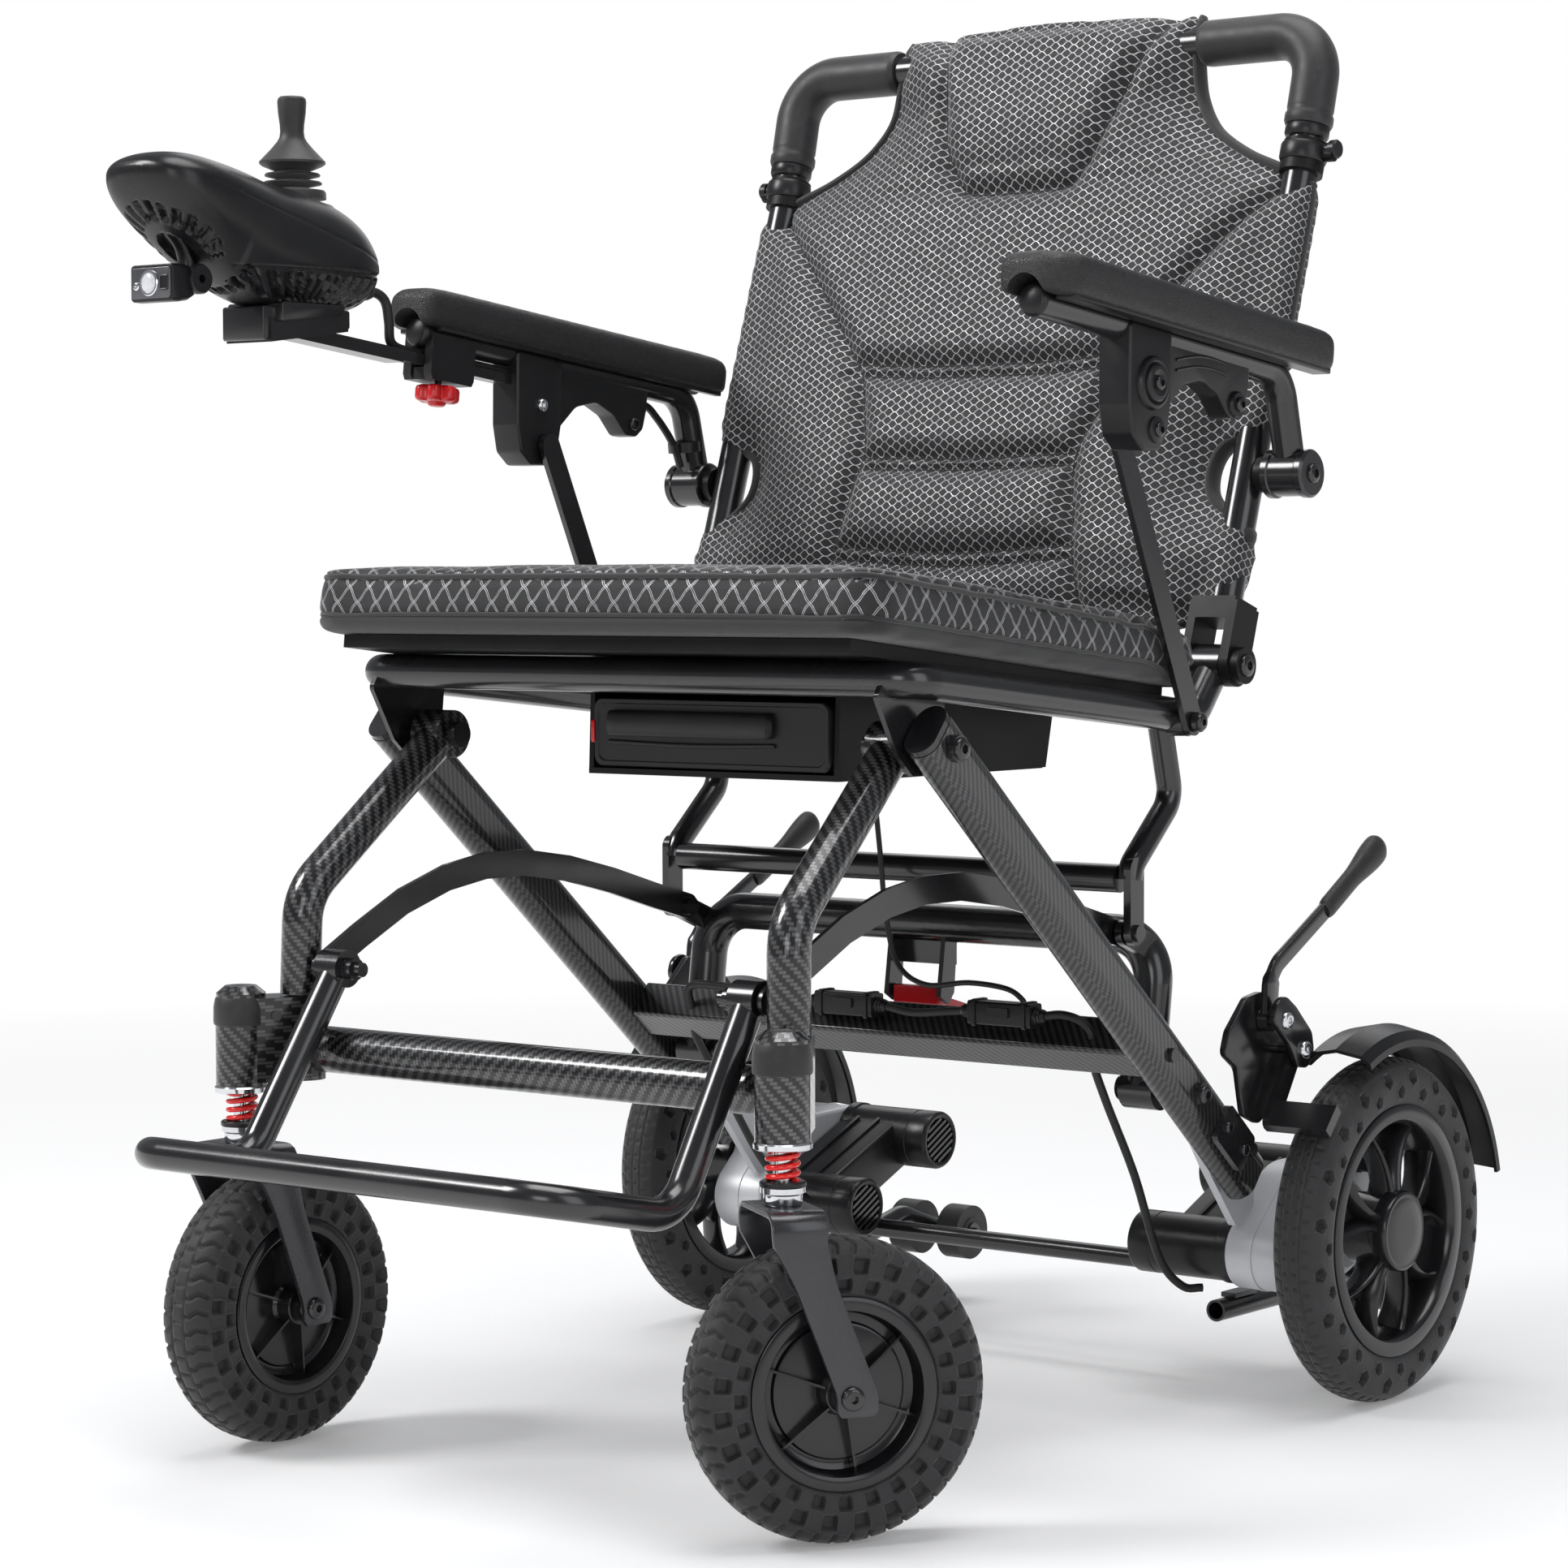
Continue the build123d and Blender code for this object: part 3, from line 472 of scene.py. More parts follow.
def path_uv(path, radius):
    """u runs along a centre line, v around it."""
    path = np.array(path, float)

    def solve(points):
        best = np.full(len(points), 1e9)
        along = np.zeros(len(points))
        angle = np.zeros(len(points))
        done = 0.0
        for start, end in zip(path[:-1], path[1:]):
            length = np.linalg.norm(end - start)
            tangent = (end - start) / length
            rel = points - start
            run = rel @ tangent
            dist = np.linalg.norm(rel - np.clip(run, 0, length)[:, None] * tangent, axis=1)
            guide = X_AXIS if abs(tangent[0]) < 0.9 else Z_AXIS
            first = unit(guide - (guide @ tangent) * tangent)
            second = np.cross(tangent, first)
            nearer = dist < best - 1e-9
            best = np.where(nearer, dist, best)
            along = np.where(nearer, done + run, along)
            angle = np.where(nearer, np.arctan2(rel @ second, rel @ first), angle)
            done += length
        return along, angle

    def uv_of(loops, face_of, normals, centres):
        along, angle = solve(loops)
        centre_angle = solve(centres)[1][face_of]
        # keep each face on one turn
        angle = centre_angle + (angle - centre_angle + pi) % (2 * pi) - pi
        return np.stack([along, angle * radius], 1)
    return uv_of


def multi_uv(paths, radius):
    """path_uv about whichever path is nearest to each face."""
    def uv_of(loops, face_of, normals, centres):
        maps = [path_uv(path, radius)(loops, face_of, normals, centres) for path in paths]
        dists = [dist_poly(centres, path)[0] for path in paths]
        nearest = np.argmin(np.stack(dists), 0)[face_of]
        return np.stack(maps)[nearest, np.arange(len(loops))]
    return uv_of


def rail_uv(along, normal):
    """For a flat sided rail: u along it, v across each face."""
    along, normal = unit(along), unit(normal)
    across = np.cross(along, normal)

    def uv_of(loops, face_of, normals, centres):
        on_side = (np.abs(normals @ across) > np.abs(normals @ normal))[face_of]
        # the other faces start 20 mm further across the weave
        v = np.where(on_side, loops @ normal, loops @ across + 20.0)
        return np.stack([loops @ along, v], 1)
    return uv_of


# ------------------------------------------------------------------ material tools
def value_op(kind):
    return lambda a, b: a.mat.math(kind, a, b)


class Value:
    """An output socket that can be used in sums."""

    def __init__(self, mat, socket):
        self.mat = mat
        self.socket = socket

    __add__ = value_op("ADD")
    __sub__ = value_op("SUBTRACT")
    __mul__ = value_op("MULTIPLY")
    __truediv__ = value_op("DIVIDE")

    def __rsub__(self, other):
        return self.mat.math("SUBTRACT", other, self)

    def remap(self, start, end, low=0, high=1):
        """Maps start..end to low..high and stops there."""
        return self.mat.result("ShaderNodeMapRange", 0, self, start, end, low, high)

    def spread(self, low, high):
        """Maps the usual range of a noise to low..high."""
        return self.remap(0.3, 0.7, low, high)


class Material:
    def __init__(self, name):
        self.mat = bpy.data.materials.new(name)
        self.mat.use_nodes = True
        self.tree = self.mat.node_tree
        self.tree.nodes.clear()
        self.out = self.node("ShaderNodeOutputMaterial")
        self.bsdf = self.node("ShaderNodeBsdfPrincipled")
        self.tree.links.new(self.bsdf.outputs[0], self.out.inputs[0])
        coord = self.node("ShaderNodeTexCoord")
        self.obj = Value(self, coord.outputs["Object"])
        self.uv = Value(self, coord.outputs["UV"])

    def node(self, kind):
        return self.tree.nodes.new(kind)

    def put(self, socket, value):
        if isinstance(value, Value):
            self.tree.links.new(value.socket, socket)
        elif isinstance(value, tuple) and socket.type == "RGBA":
            socket.default_value = (*value, 1)
        else:
            socket.default_value = value

    def result(self, kind, output, *inputs):
        """A node with its first inputs filled; gives one of its outputs."""
        node = self.node(kind)
        for socket, value in zip(node.inputs, inputs):
            self.put(socket, value)
        return Value(self, node.outputs[output])

    def set(self, **values):
        """Sets inputs of the surface; an underscore stands for a space."""
        for name, value in values.items():
            self.put(self.bsdf.inputs[name.replace("_", " ")], value)
        return self.mat

    def math(self, operation, a, b=0.0, c=0.0):
        value = self.result("ShaderNodeMath", 0, a, b, c)
        value.socket.node.operation = operation
        return value

    def off_centre(self, value):
        """Distance from the middle of each unit cell."""
        return self.math("ABSOLUTE", self.math("FRACT", value) - 0.5)

    def noise(self, scale, detail=3.0, rough=0.5, vec=None):
        node = self.node("ShaderNodeTexNoise")
        self.put(node.inputs["Vector"], vec or self.obj)
        node.inputs["Scale"].default_value = scale
        node.inputs["Detail"].default_value = detail
        node.inputs["Roughness"].default_value = rough
        return Value(self, node.outputs["Fac"])

    def voronoi(self, scale, feature="F1"):
        node = self.node("ShaderNodeTexVoronoi")
        node.feature = feature
        self.put(node.inputs["Vector"], self.obj)
        node.inputs["Scale"].default_value = scale
        return Value(self, node.outputs["Distance"])

    def mix(self, factor, a, b):
        """Blends two colours."""
        node = self.node("ShaderNodeMix")
        node.data_type = "RGBA"
        for index, value in ((0, factor), (6, a), (7, b)):
            self.put(node.inputs[index], value)
        return Value(self, node.outputs[2])

    def mix_value(self, factor, a, b):
        node = self.node("ShaderNodeMix")
        for index, value in ((0, factor), (2, a), (3, b)):
            self.put(node.inputs[index], value)
        return Value(self, node.outputs[0])

    def mottle(self, noise, a, b):
        """Drifts between two colours with a noise."""
        return self.mix(noise.remap(0.35, 0.7), a, b)

    def sep(self, vec):
        node = self.node("ShaderNodeSeparateXYZ")
        self.put(node.inputs[0], vec)
        return [Value(self, output) for output in node.outputs]

    def comb(self, x, y, z=0.0):
        return self.result("ShaderNodeCombineXYZ", 0, x, y, z)

    def bump(self, height, strength, dist):
        node = self.node("ShaderNodeBump")
        self.put(node.inputs["Height"], height)
        node.inputs["Strength"].default_value = strength
        node.inputs["Distance"].default_value = dist
        return Value(self, node.outputs[0])

    def edges(self, radius=0.0012):
        """1 near sharp edges, 0 elsewhere."""
        bevel = self.node("ShaderNodeBevel")
        bevel.samples = 4
        bevel.inputs["Radius"].default_value = radius
        geometry = self.node("ShaderNodeNewGeometry")
        dot = self.node("ShaderNodeVectorMath")
        dot.operation = "DOT_PRODUCT"
        self.tree.links.new(bevel.outputs[0], dot.inputs[0])
        self.tree.links.new(geometry.outputs["Normal"], dot.inputs[1])
        return Value(self, dot.outputs["Value"]).remap(0.985, 0.86, 0.0, 1.0)


def scaled(colour, factor):
    return tuple(c * factor for c in colour)


# ------------------------------------------------------------------ materials
def satin(name, colour, rough, grain=2400, bump=0.12, metallic=0.0, coat=0.0, wear=0.3,
          spec=0.4, tint=1.25, edge=None):
    """Painted or moulded hard surface with fine grain, uneven gloss and rubbed edges.
    rough is the range of roughness, tint the lift of the lighter patches, edge the worn colour."""
    m = Material(name)
    big = m.noise(14, detail=4, rough=0.6)
    fine = m.noise(grain, detail=2, rough=0.6)
    mid = m.noise(140, detail=3, rough=0.55)
    base = m.mottle(big, colour, tuple(min(1, c * tint + 0.002) for c in colour))
    worn = m.edges() * mid.remap(0.4, 0.65, low=0.15, high=1.0)
    edge = edge or tuple(min(1, c * 2.6 + 0.02) for c in colour)
    return m.set(Base_Color=m.mix(worn * wear, base, edge),
                 Roughness=big.spread(*rough) + fine.spread(-0.03, 0.03), Metallic=metallic,
                 Normal=m.bump(fine, strength=bump, dist=0.0002), Specular_IOR_Level=spec,
                 Coat_Weight=coat, Coat_Roughness=0.15)


BLACK = satin("black_powder_coat", (0.007, 0.007, 0.008), rough=(0.16, 0.28), grain=2200,
              bump=0.10, coat=0.35, wear=0.35, spec=0.6)
GUN = satin("fork_paint", (0.030, 0.030, 0.034), rough=(0.22, 0.34), bump=0.08, metallic=0.35,
            coat=0.2, wear=0.35, spec=0.7)
PLASTIC = satin("moulded_black", (0.008, 0.008, 0.009), rough=(0.26, 0.38), grain=3000, bump=0.16)
GLOSSY = satin("rim_black", (0.008, 0.008, 0.009), rough=(0.16, 0.28), grain=2500, bump=0.08,
               coat=0.3)
CASE = satin("battery_shell", (0.010, 0.010, 0.011), rough=(0.32, 0.44), grain=2600, bump=0.25)
ALU = satin("cast_alloy", (0.60, 0.61, 0.63), rough=(0.36, 0.5), grain=900, bump=0.22,
            metallic=0.35, wear=0.2, spec=0.5, tint=1.1, edge=(0.75, 0.76, 0.78))
CHROME = satin("polished_steel", (0.70, 0.71, 0.73), rough=(0.10, 0.22), grain=1800, bump=0.05,
               metallic=1.0, wear=0.1, spec=0.5, tint=1.05, edge=(0.85, 0.85, 0.86))
SPRING = satin("spring_red", (0.78, 0.006, 0.004), rough=(0.16, 0.28), grain=1800, bump=0.06,
               coat=0.5, spec=0.5, tint=1.15, edge=(0.9, 0.06, 0.03))
RED = satin("knob_red", (0.58, 0.008, 0.012), rough=(0.25, 0.38), bump=0.10, coat=0.2, spec=0.5,
            tint=1.15, edge=(0.75, 0.05, 0.04))
CABLE = satin("cable_jacket", (0.010, 0.010, 0.010), rough=(0.35, 0.5), grain=2600, wear=0.0)


def rubber(name, colour=(0.015, 0.015, 0.016), rough=(0.55, 0.72)):
    """Dusty black rubber, a little lighter on its edges."""
    m = Material(name)
    big = m.noise(22, detail=5, rough=0.6)
    fine = m.noise(1500, detail=3, rough=0.7)
    dust = m.noise(75, detail=5, rough=0.7)
    base = m.mottle(big, colour, scaled(colour, 1.5))
    base = m.mix(dust.remap(0.52, 0.8, low=0, high=0.35), base, (0.06, 0.058, 0.056))
    base = m.mix(m.edges(radius=0.0009) * 0.35, base, (0.07, 0.07, 0.072))
    return m.set(Base_Color=base, Roughness=dust.spread(*rough),
                 Normal=m.bump(fine, strength=0.25, dist=0.0002),
                 Sheen_Weight=0.25, Sheen_Roughness=0.4)


TYRE = rubber("tyre_rubber")
RUBBER = rubber("soft_rubber", (0.012, 0.012, 0.012), rough=(0.45, 0.6))
FOAM = rubber("grip_foam", (0.011, 0.011, 0.012), rough=(0.42, 0.55))


def carbon(name, cell, painted_sheen, gloss):
    """2 x 2 twill under clear lacquer. cell is the tow width, the third argument the painted sheen
    (the grey of the lighter tows), gloss the roughness of the lacquer; UV in millimetres."""
    m = Material(name)
    x, y, _ = m.sep(m.uv)
    u, v = x / cell, y / cell
    order = m.math("FLOORED_MODULO", m.math("FLOOR", u) + m.math("FLOOR", v), 4.0)
    over = m.math("LESS_THAN", order, 1.5)

    def rounded(value):
        return 1.0 - m.math("POWER", m.off_centre(value), 2.0) * 3.2
    crown = m.mix_value(over, rounded(u), rounded(v))
    # filaments run along each tow
    along, across = 0.15, 9.0
    fil_u = m.noise(1.0, detail=2, vec=m.comb(x * along, y * across))
    fil_v = m.noise(1.0, detail=2, vec=m.comb(x * across, y * along))
    filament = m.mix_value(over, fil_v, fil_u)
    dark = filament.spread(0.004, 0.010)
    # the lighter tows: a painted sheen, their grey stands in for the reflection off the fibres
    light = filament.remap(0.25, 0.75, low=painted_sheen * 0.45, high=painted_sheen)
    tone = m.noise(9, detail=3)
    # crown darkens the sides of each tow: painted shade on the rounded tows
    grey = m.mix_value(over, light, dark) * (crown * tone.spread(0.75, 1.1))
    return m.set(Base_Color=m.comb(grey, grey, grey * 1.04),
                 Roughness=m.mix_value(over, 0.34, 0.42), Metallic=0.55,
                 Normal=m.bump(crown, strength=0.10, dist=0.0003),
                 Coat_Weight=0.9, Coat_Roughness=gloss)


CARBON = carbon("carbon_twill_coarse", cell=2.4, painted_sheen=0.15, gloss=0.10)
CARBON_FINE = carbon("carbon_twill_fine", cell=1.6, painted_sheen=0.10, gloss=0.12)


def net_fabric(name, width, height, line, silver, ground, double=False, wave=0.06):
    """Woven net of light threads over a dark spacer mesh; UV in millimetres. width and height
    are the net's cell, line the half width of a thread in cells, wave its swing in cells."""
    m = Material(name)
    x, y, _ = m.sep(m.uv)
    wobble = (m.noise(0.02, detail=2, vec=m.uv) - 0.5) * 0.25
    p = x / width + wobble
    q = y / height
    rising, falling = p + q, p - q

    def thread_dist(line_value, swing):
        return m.off_centre(line_value + m.math("SINE", swing * (2 * pi)) * wave)

    def thread(dist):
        if double:
            beside = m.math("ABSOLUTE", dist - line * 1.5)
            return 1.0 - beside.remap(line * 0.5, line * 0.9)
        return dist.remap(line, line * 0.55)
    dist_a, dist_b = thread_dist(rising, falling), thread_dist(falling, rising)
    net = m.math("MAXIMUM", thread(dist_a), thread(dist_b))
    knot = dist_a.remap(line * 3.2, line) * dist_b.remap(line * 3.2, line)
    twist = m.noise(2.4, detail=2, rough=0.6, vec=m.uv)
    # spacer mesh: small round holes in staggered rows, at this pitch
    pitch_x, pitch_y = 1.15, 1.0
    column, row = x / pitch_x, y / pitch_y
    stagger = m.math("FLOORED_MODULO", m.math("FLOOR", row), 2.0) * 0.5
    hole_x = m.math("FRACT", column + stagger) - 0.5
    hole_y = m.math("FRACT", row) - 0.5
    hole = m.math("SQRT", hole_x * hole_x + hole_y * hole_y).remap(0.34, 0.22)
    patch = m.noise(0.011, detail=4, rough=0.55, vec=m.uv)
    cloth = m.mottle(patch, ground, scaled(ground, 1.6))
    # painted shade: the cloth is darker inside the holes of the spacer mesh
    cloth = m.mix(hole * 0.75, cloth, (0.004, 0.004, 0.004))
    gleam = m.noise(0.13, detail=3, rough=0.6, vec=m.uv)
    threads = m.mottle(gleam, scaled(silver, 0.5), silver)
    relief = net * 0.8 + (knot * 0.3 + hole * -0.45)
    relief = relief + twist * (net * 0.4)
    return m.set(Base_Color=m.mix(net, cloth, threads),
                 Roughness=m.mix_value(net, 0.62, gleam.spread(0.5, 0.26)), Metallic=net * 0.45,
                 Normal=m.bump(relief, strength=0.55, dist=0.0006),
                 Sheen_Weight=0.35, Sheen_Roughness=0.35)


BACK_NET = net_fabric("back_net_fabric", width=11.2, height=6.6, line=0.070,
                      silver=(0.66, 0.66, 0.68), ground=(0.007, 0.007, 0.008))
SEAT_NET = net_fabric("seat_net_fabric", width=18.0, height=21.5, line=0.030,
                      silver=(0.55, 0.55, 0.57), ground=(0.007, 0.007, 0.008),
                      double=True, wave=0.03)


def plain_fabric(name, colour, pitch):
    """Dark woven cloth, in object space."""
    m = Material(name)
    x, y, z = m.sep(m.obj)
    rate = 2 * pi / (pitch * MM)
    weave = m.math("SINE", (x + z) * rate) * m.math("SINE", ((z + y) - x) * rate)
    big = m.noise(30, detail=4, rough=0.6)
    base = m.mottle(big, colour, scaled(colour, 1.7))
    # painted shade: the low places of the weave are darker
    base = m.mix(weave.remap(-0.2, -1.0, low=0, high=0.6), base, scaled(colour, 0.3))
    return m.set(Base_Color=base, Roughness=big.spread(0.7, 0.85),
                 Normal=m.bump(weave, strength=0.4, dist=0.0002), Sheen_Weight=0.3)


BINDING = plain_fabric("binding_tape", (0.010, 0.010, 0.011), pitch=1.1)
BACKING = plain_fabric("backing_cloth", (0.015, 0.015, 0.017), pitch=1.6)


def leather(name, colour=(0.013, 0.013, 0.014)):
    m = Material(name)
    cells = m.voronoi(620, "DISTANCE_TO_EDGE")
    wobble = m.noise(260, detail=3, rough=0.6)
    pebble = m.voronoi(1500)
    raised = cells.remap(0.0, 0.16)
    relief = raised * 0.8 + (wobble * 0.6 + pebble * -0.25)
    big = m.noise(25, detail=4, rough=0.6)
    base = m.mottle(big, colour, scaled(colour, 1.45))
    # painted shade: the creases between the grain cells are darker
    base = m.mix(1.0 - raised, base, scaled(colour, 0.45))
    base = m.mix(m.edges(radius=0.002) * 0.3, base, (0.06, 0.06, 0.062))
    return m.set(Base_Color=base, Roughness=wobble.spread(0.36, 0.54),
                 Normal=m.bump(relief, strength=0.45, dist=0.0006))


LEATHER = leather("arm_leather_grain")


def lens(name):
    m = Material(name)
    fine = m.noise(900, detail=2)
    return m.set(Base_Color=m.mix(fine.remap(0.4, 0.6), (0.75, 0.77, 0.8), (0.95, 0.96, 0.98)),
                 Roughness=fine.spread(0.04, 0.12), Metallic=0.0,
                 Normal=m.bump(m.voronoi(700), strength=0.25, dist=0.0004),
                 Transmission_Weight=0.35, Coat_Weight=1.0,
                 Emission_Color=(0.9, 0.93, 1), Emission_Strength=0.12)


LENS = lens("lamp_lens")


# ------------------------------------------------------------------ local axes
class Axes:
    """A place with its own axes: across, along and up from its surface."""

    def __init__(self, origin, across, along, normal):
        self.origin = np.array(origin, float)
        self.across = np.array(across, float)
        self.along = np.array(along, float)
        self.normal = np.array(normal, float)

    def __call__(self, x, y, z):
        return self.across * x + self.origin + self.along * y + self.normal * z

    def local(self, points):
        rel = np.asarray(points) - self.origin
        return rel @ self.across, rel @ self.along, rel @ self.normal

    def world(self, x, y, z):
        return (self.origin + x[:, None] * self.across + y[:, None] * self.along
                + z[:, None] * self.normal)


def tilted(origin, degrees):
    """Axes that fall towards the back by an angle."""
    tilt = radians(degrees)
    return Axes(origin, X_AXIS, (0, cos(tilt), -sin(tilt)), (0, sin(tilt), cos(tilt)))


SEAT = tilted((0, -484.0, 533.0), 6.2)     # along runs to the back
ARM = tilted((0, -395.0, 777.0), 6.7)      # along runs to the back
BACK_FOOT = np.array([0, -122.0, 535.0])
back_up = unit(np.array([0, -2.0, 901.0]) - BACK_FOOT)
# along runs up the backrest, the normal points to the front
BACK = Axes(BACK_FOOT, X_AXIS, back_up, (0, -back_up[2], back_up[1]))


# ------------------------------------------------------------------ soft pieces
def remesh(ob, voxel):
    mod = ob.modifiers.new("r", "REMESH")
    mod.mode = "VOXEL"
    mod.voxel_size = voxel * MM
    mod.use_smooth_shade = True
    return apply_modifiers(ob)


def puff(ob, cap, pinned, pressure=4.0, frames=20):
    """Cloth simulation: the closed form swells under a little air pressure, by up to cap."""
    before = coords(ob)
    normals = np.zeros(len(before) * 3)
    ob.data.vertices.foreach_get("normal", normals)
    normals = normals.reshape(-1, 3)
    group = ob.vertex_groups.new(name="pin")
    pins = np.where(pinned(before))[0]
    group.add([int(i) for i in pins], 1.0, "REPLACE")
    mod = ob.modifiers.new("c", "CLOTH")
    cloth = mod.settings
    cloth.quality = 5
    cloth.mass = 0.3
    cloth.tension_stiffness = 18
    cloth.compression_stiffness = 18
    cloth.shear_stiffness = 6
    cloth.bending_stiffness = 1.2
    cloth.use_pressure = True
    cloth.uniform_pressure_force = pressure
    cloth.effector_weights.gravity = 0.0
    if len(pins):
        cloth.vertex_group_mass = "pin"
    mod.collision_settings.use_collision = False
    scene.frame_start, scene.frame_end = 1, frames
    mod.point_cache.frame_start, mod.point_cache.frame_end = 1, frames
    for f in range(1, frames + 1):
        scene.frame_set(f)
    apply_modifiers(ob)
    after = coords(ob)
    if len(after) == len(before):
        move = after - before
        # the cover swells but doesn't pull the filling in
        outward = (move * normals).sum(1, keepdims=True)
        move = move - normals * np.minimum(outward, 0) * 0.9
        length = np.linalg.norm(move, axis=1, keepdims=True)
        share = cap * np.tanh(length / cap) / np.maximum(length, 1e-9)
        set_coords(ob, before + move * share)
    ob.vertex_groups.clear()
    scene.frame_set(1)


def relax(ob, rounds):
    bm = bmesh.new()
    bm.from_mesh(ob.data)
    for _ in range(rounds):
        bmesh.ops.smooth_vert(bm, verts=bm.verts, factor=0.5,
                              use_axis_x=True, use_axis_y=True, use_axis_z=True)
    bm.to_mesh(ob.data)
    bm.free()
    ob.data.update()


def subdivide(ob):
    mod = ob.modifiers.new("s", "SUBSURF")
    mod.levels = mod.render_levels = 1
    return apply_modifiers(ob)


# ------------------------------------------------------------------ seat cushion
SEAT_HALF = 248.5                   # half width
SEAT_FRONT, SEAT_REAR = -58, 325
SEAT_CORNERS = [24, 24, 14, 14]
SEAT_FOOT = 22.2                    # underside
SEAT_MID = 136.0                    # soft shaping is measured from here along the seat,
REACH_X, REACH_Y = 246, 187         # to this half width and half length
WELT_TOP, WELT_FOOT = 61.5, 34.5
# inset from the outline, height
SEAT_LAYERS = ((5, 22.5), (1.0, 25), (0, 31), (-0.5, 44), (0.5, 60), (2.5, 66), (8, 70.0))


def seat_outline(inset, steps):
    return rounded_rect(-SEAT_HALF + inset, SEAT_HALF - inset, SEAT_FRONT + inset,
                        SEAT_REAR - inset, [r - inset for r in SEAT_CORNERS], steps)


def rear_drop(along):
    """How far the top falls where the backrest folds over it."""
    return 22 * smoothstep(262, 322, along)


plan = seat_outline(0, 10)


def press_flat(ob):
    """Gives the piece a mesh of its own."""
    tuple((SEAT(0, SEAT_MID, SEAT_FOOT) + OFFSET) * MM)
    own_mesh(ob)


def shape_cushion(ob):
    x, y, z = SEAT.local(coords(ob))
    top = smoothstep(48, 64, z)
    # gentle crown on the top
    crown_x = np.clip(1 - (x / REACH_X) ** 2, 0, 1) ** 0.6
    crown_y = np.clip(1 - ((y - SEAT_MID) / REACH_Y) ** 2, 0, 1) ** 0.6
    want = 66 + 9.0 * crown_x * crown_y - rear_drop(y)
    z = np.where(z > 60, z + (want - z) * 0.75 * top, z)
    # the two welts draw the border in
    dist, _ = dist_poly(np.column_stack((x, y)), plan, closed=True)
    radial = np.stack([x / REACH_X, (y - SEAT_MID) / REACH_Y], 1)
    radial /= np.maximum(np.linalg.norm(radial, axis=1, keepdims=True), 1e-9)
    pull = smoothstep(22, 6, dist) * (3.2 * np.exp(-((z - WELT_TOP) / 2.6) ** 2)
                                      + 2.4 * np.exp(-((z - WELT_FOOT) / 2.2) ** 2))
    x, y = x - radial[:, 0] * pull, y - radial[:, 1] * pull
    # soft wrinkles near the border
    z = z + top * 0.7 * np.sin(x / 19.0 + 1.3 * np.sin(y / 31.0)) * np.exp(-(dist / 38.0))
    set_coords(ob, SEAT.world(np.clip(x, -249.4, 249.4), np.clip(y, -61.0, 330.0),
                              np.clip(z, SEAT_FOOT, 82)))


def seat_uv(loops, face_of, normals, centres):
    """The top is laid flat and runs over its rim; the border is unrolled around the plan."""
    x, y, z = SEAT.local(loops)
    centre_x, centre_y, centre_z = SEAT.local(centres)
    _, along = dist_poly(np.column_stack((x, y)), plan, closed=True)
    _, centre_along = dist_poly(np.column_stack((centre_x, centre_y)), plan, closed=True)
    girth = np.sum(np.linalg.norm(np.diff(np.vstack([plan, plan[:1]]), axis=0), axis=1))
    near = centre_along[face_of]
    along = near + (along - near + girth / 2) % girth - girth / 2
    upward = ((normals @ SEAT.normal > 0.55) | (centre_z > WELT_TOP))[face_of]
    over_x = np.sign(x) * np.maximum(np.abs(x) - 228, 0)
    over_y = np.sign(y - 136) * np.maximum(np.abs(y - 136) - 168, 0)
    over = np.hypot(over_x, over_y) + 1e-6
    drop = np.maximum(72 - z, 0) * np.clip(over / 8, 0, 1)
    laid = np.stack([x + over_x / over * drop, (y + over_y / over * drop) * 1.1], 1)
    return np.where(upward[:, None], laid, np.stack([along, z], 1))


def seat_cushion():
    rings = []
    for inset, height in SEAT_LAYERS:
        fall = 0.16 if height > 50 else 0
        rings.append([SEAT(x, y, height - fall * max(0, y - 262))
                      for x, y in seat_outline(inset, 8)])
    ob = mesh_obj("seat_cushion_soft", loft(rings, caps_first=True))
    remesh(ob, 6.0)
    relax(ob, 1)
    puff(ob, 14, lambda points: SEAT.local(points)[2] < 27)
    subdivide(ob)
    shape_cushion(ob)
    shade(ob, 70)
    ob.data.materials.append(SEAT_NET)
    ob.data.materials.append(BINDING)
    set_uv(ob, seat_uv)
    _, centres = face_data(ob)
    below = (SEAT.local(centres)[2] < WELT_FOOT).astype(np.int32)
    ob.data.polygons.foreach_set("material_index", below)
    place(ob, "seat", "seat_fabric", "seat_cushion")
    press_flat(ob)
    return ob


cushion = seat_cushion()


def seat_welt(name, height, radius, lift):
    """A cord around the cushion, just above its surface."""
    tree = surface_tree(cushion)
    path = []
    for x, y in resample(plan, 5.0, closed=True):
        spot, normal, _, _ = tree.find_nearest(to_scene(SEAT(x, y, height - rear_drop(y))))
        path.append(from_scene(spot) + np.array(normal) * lift)
    path = np.array(path)
    for _ in range(3):
        path = (np.roll(path, 1, 0) + path * 2 + np.roll(path, -1, 0)) / 4
    ob = mesh_obj(name, sweep(path, radius, 10, closed=True), BINDING)
    set_uv(ob, path_uv(np.vstack([path[::6], path[:1]]), radius))
    place(ob, "seat", "seat_fabric")
    press_flat(ob)


seat_welt("seat_welt_top", WELT_TOP, radius=1.9, lift=0.6)
seat_welt("seat_welt_foot", WELT_FOOT, radius=1.5, lift=0.5)

# ------------------------------------------------------------------ back pad
# (across, up) points of the left half, from the foot to the shoulder
BACK_HALF = [
    (206, 26), (222, 38), (246, 56), (250, 74), (247, 98), (228, 110), (211, 128), (209, 150),
    (219, 166), (243, 172), (250, 184), (251, 260), (251, 352), (246, 366), (222, 376),
    (190, 390), (160, 410), (142, 436), (136, 464), (134, 488)]
back_left = [tuple(p) for p in catmull(BACK_HALF, 5)] + [(134, 500)]
back_outline = ([(0.0, 26.0)] + back_left + [(0, 503)]
                + [(-x, y) for x, y in back_left[::-1]])
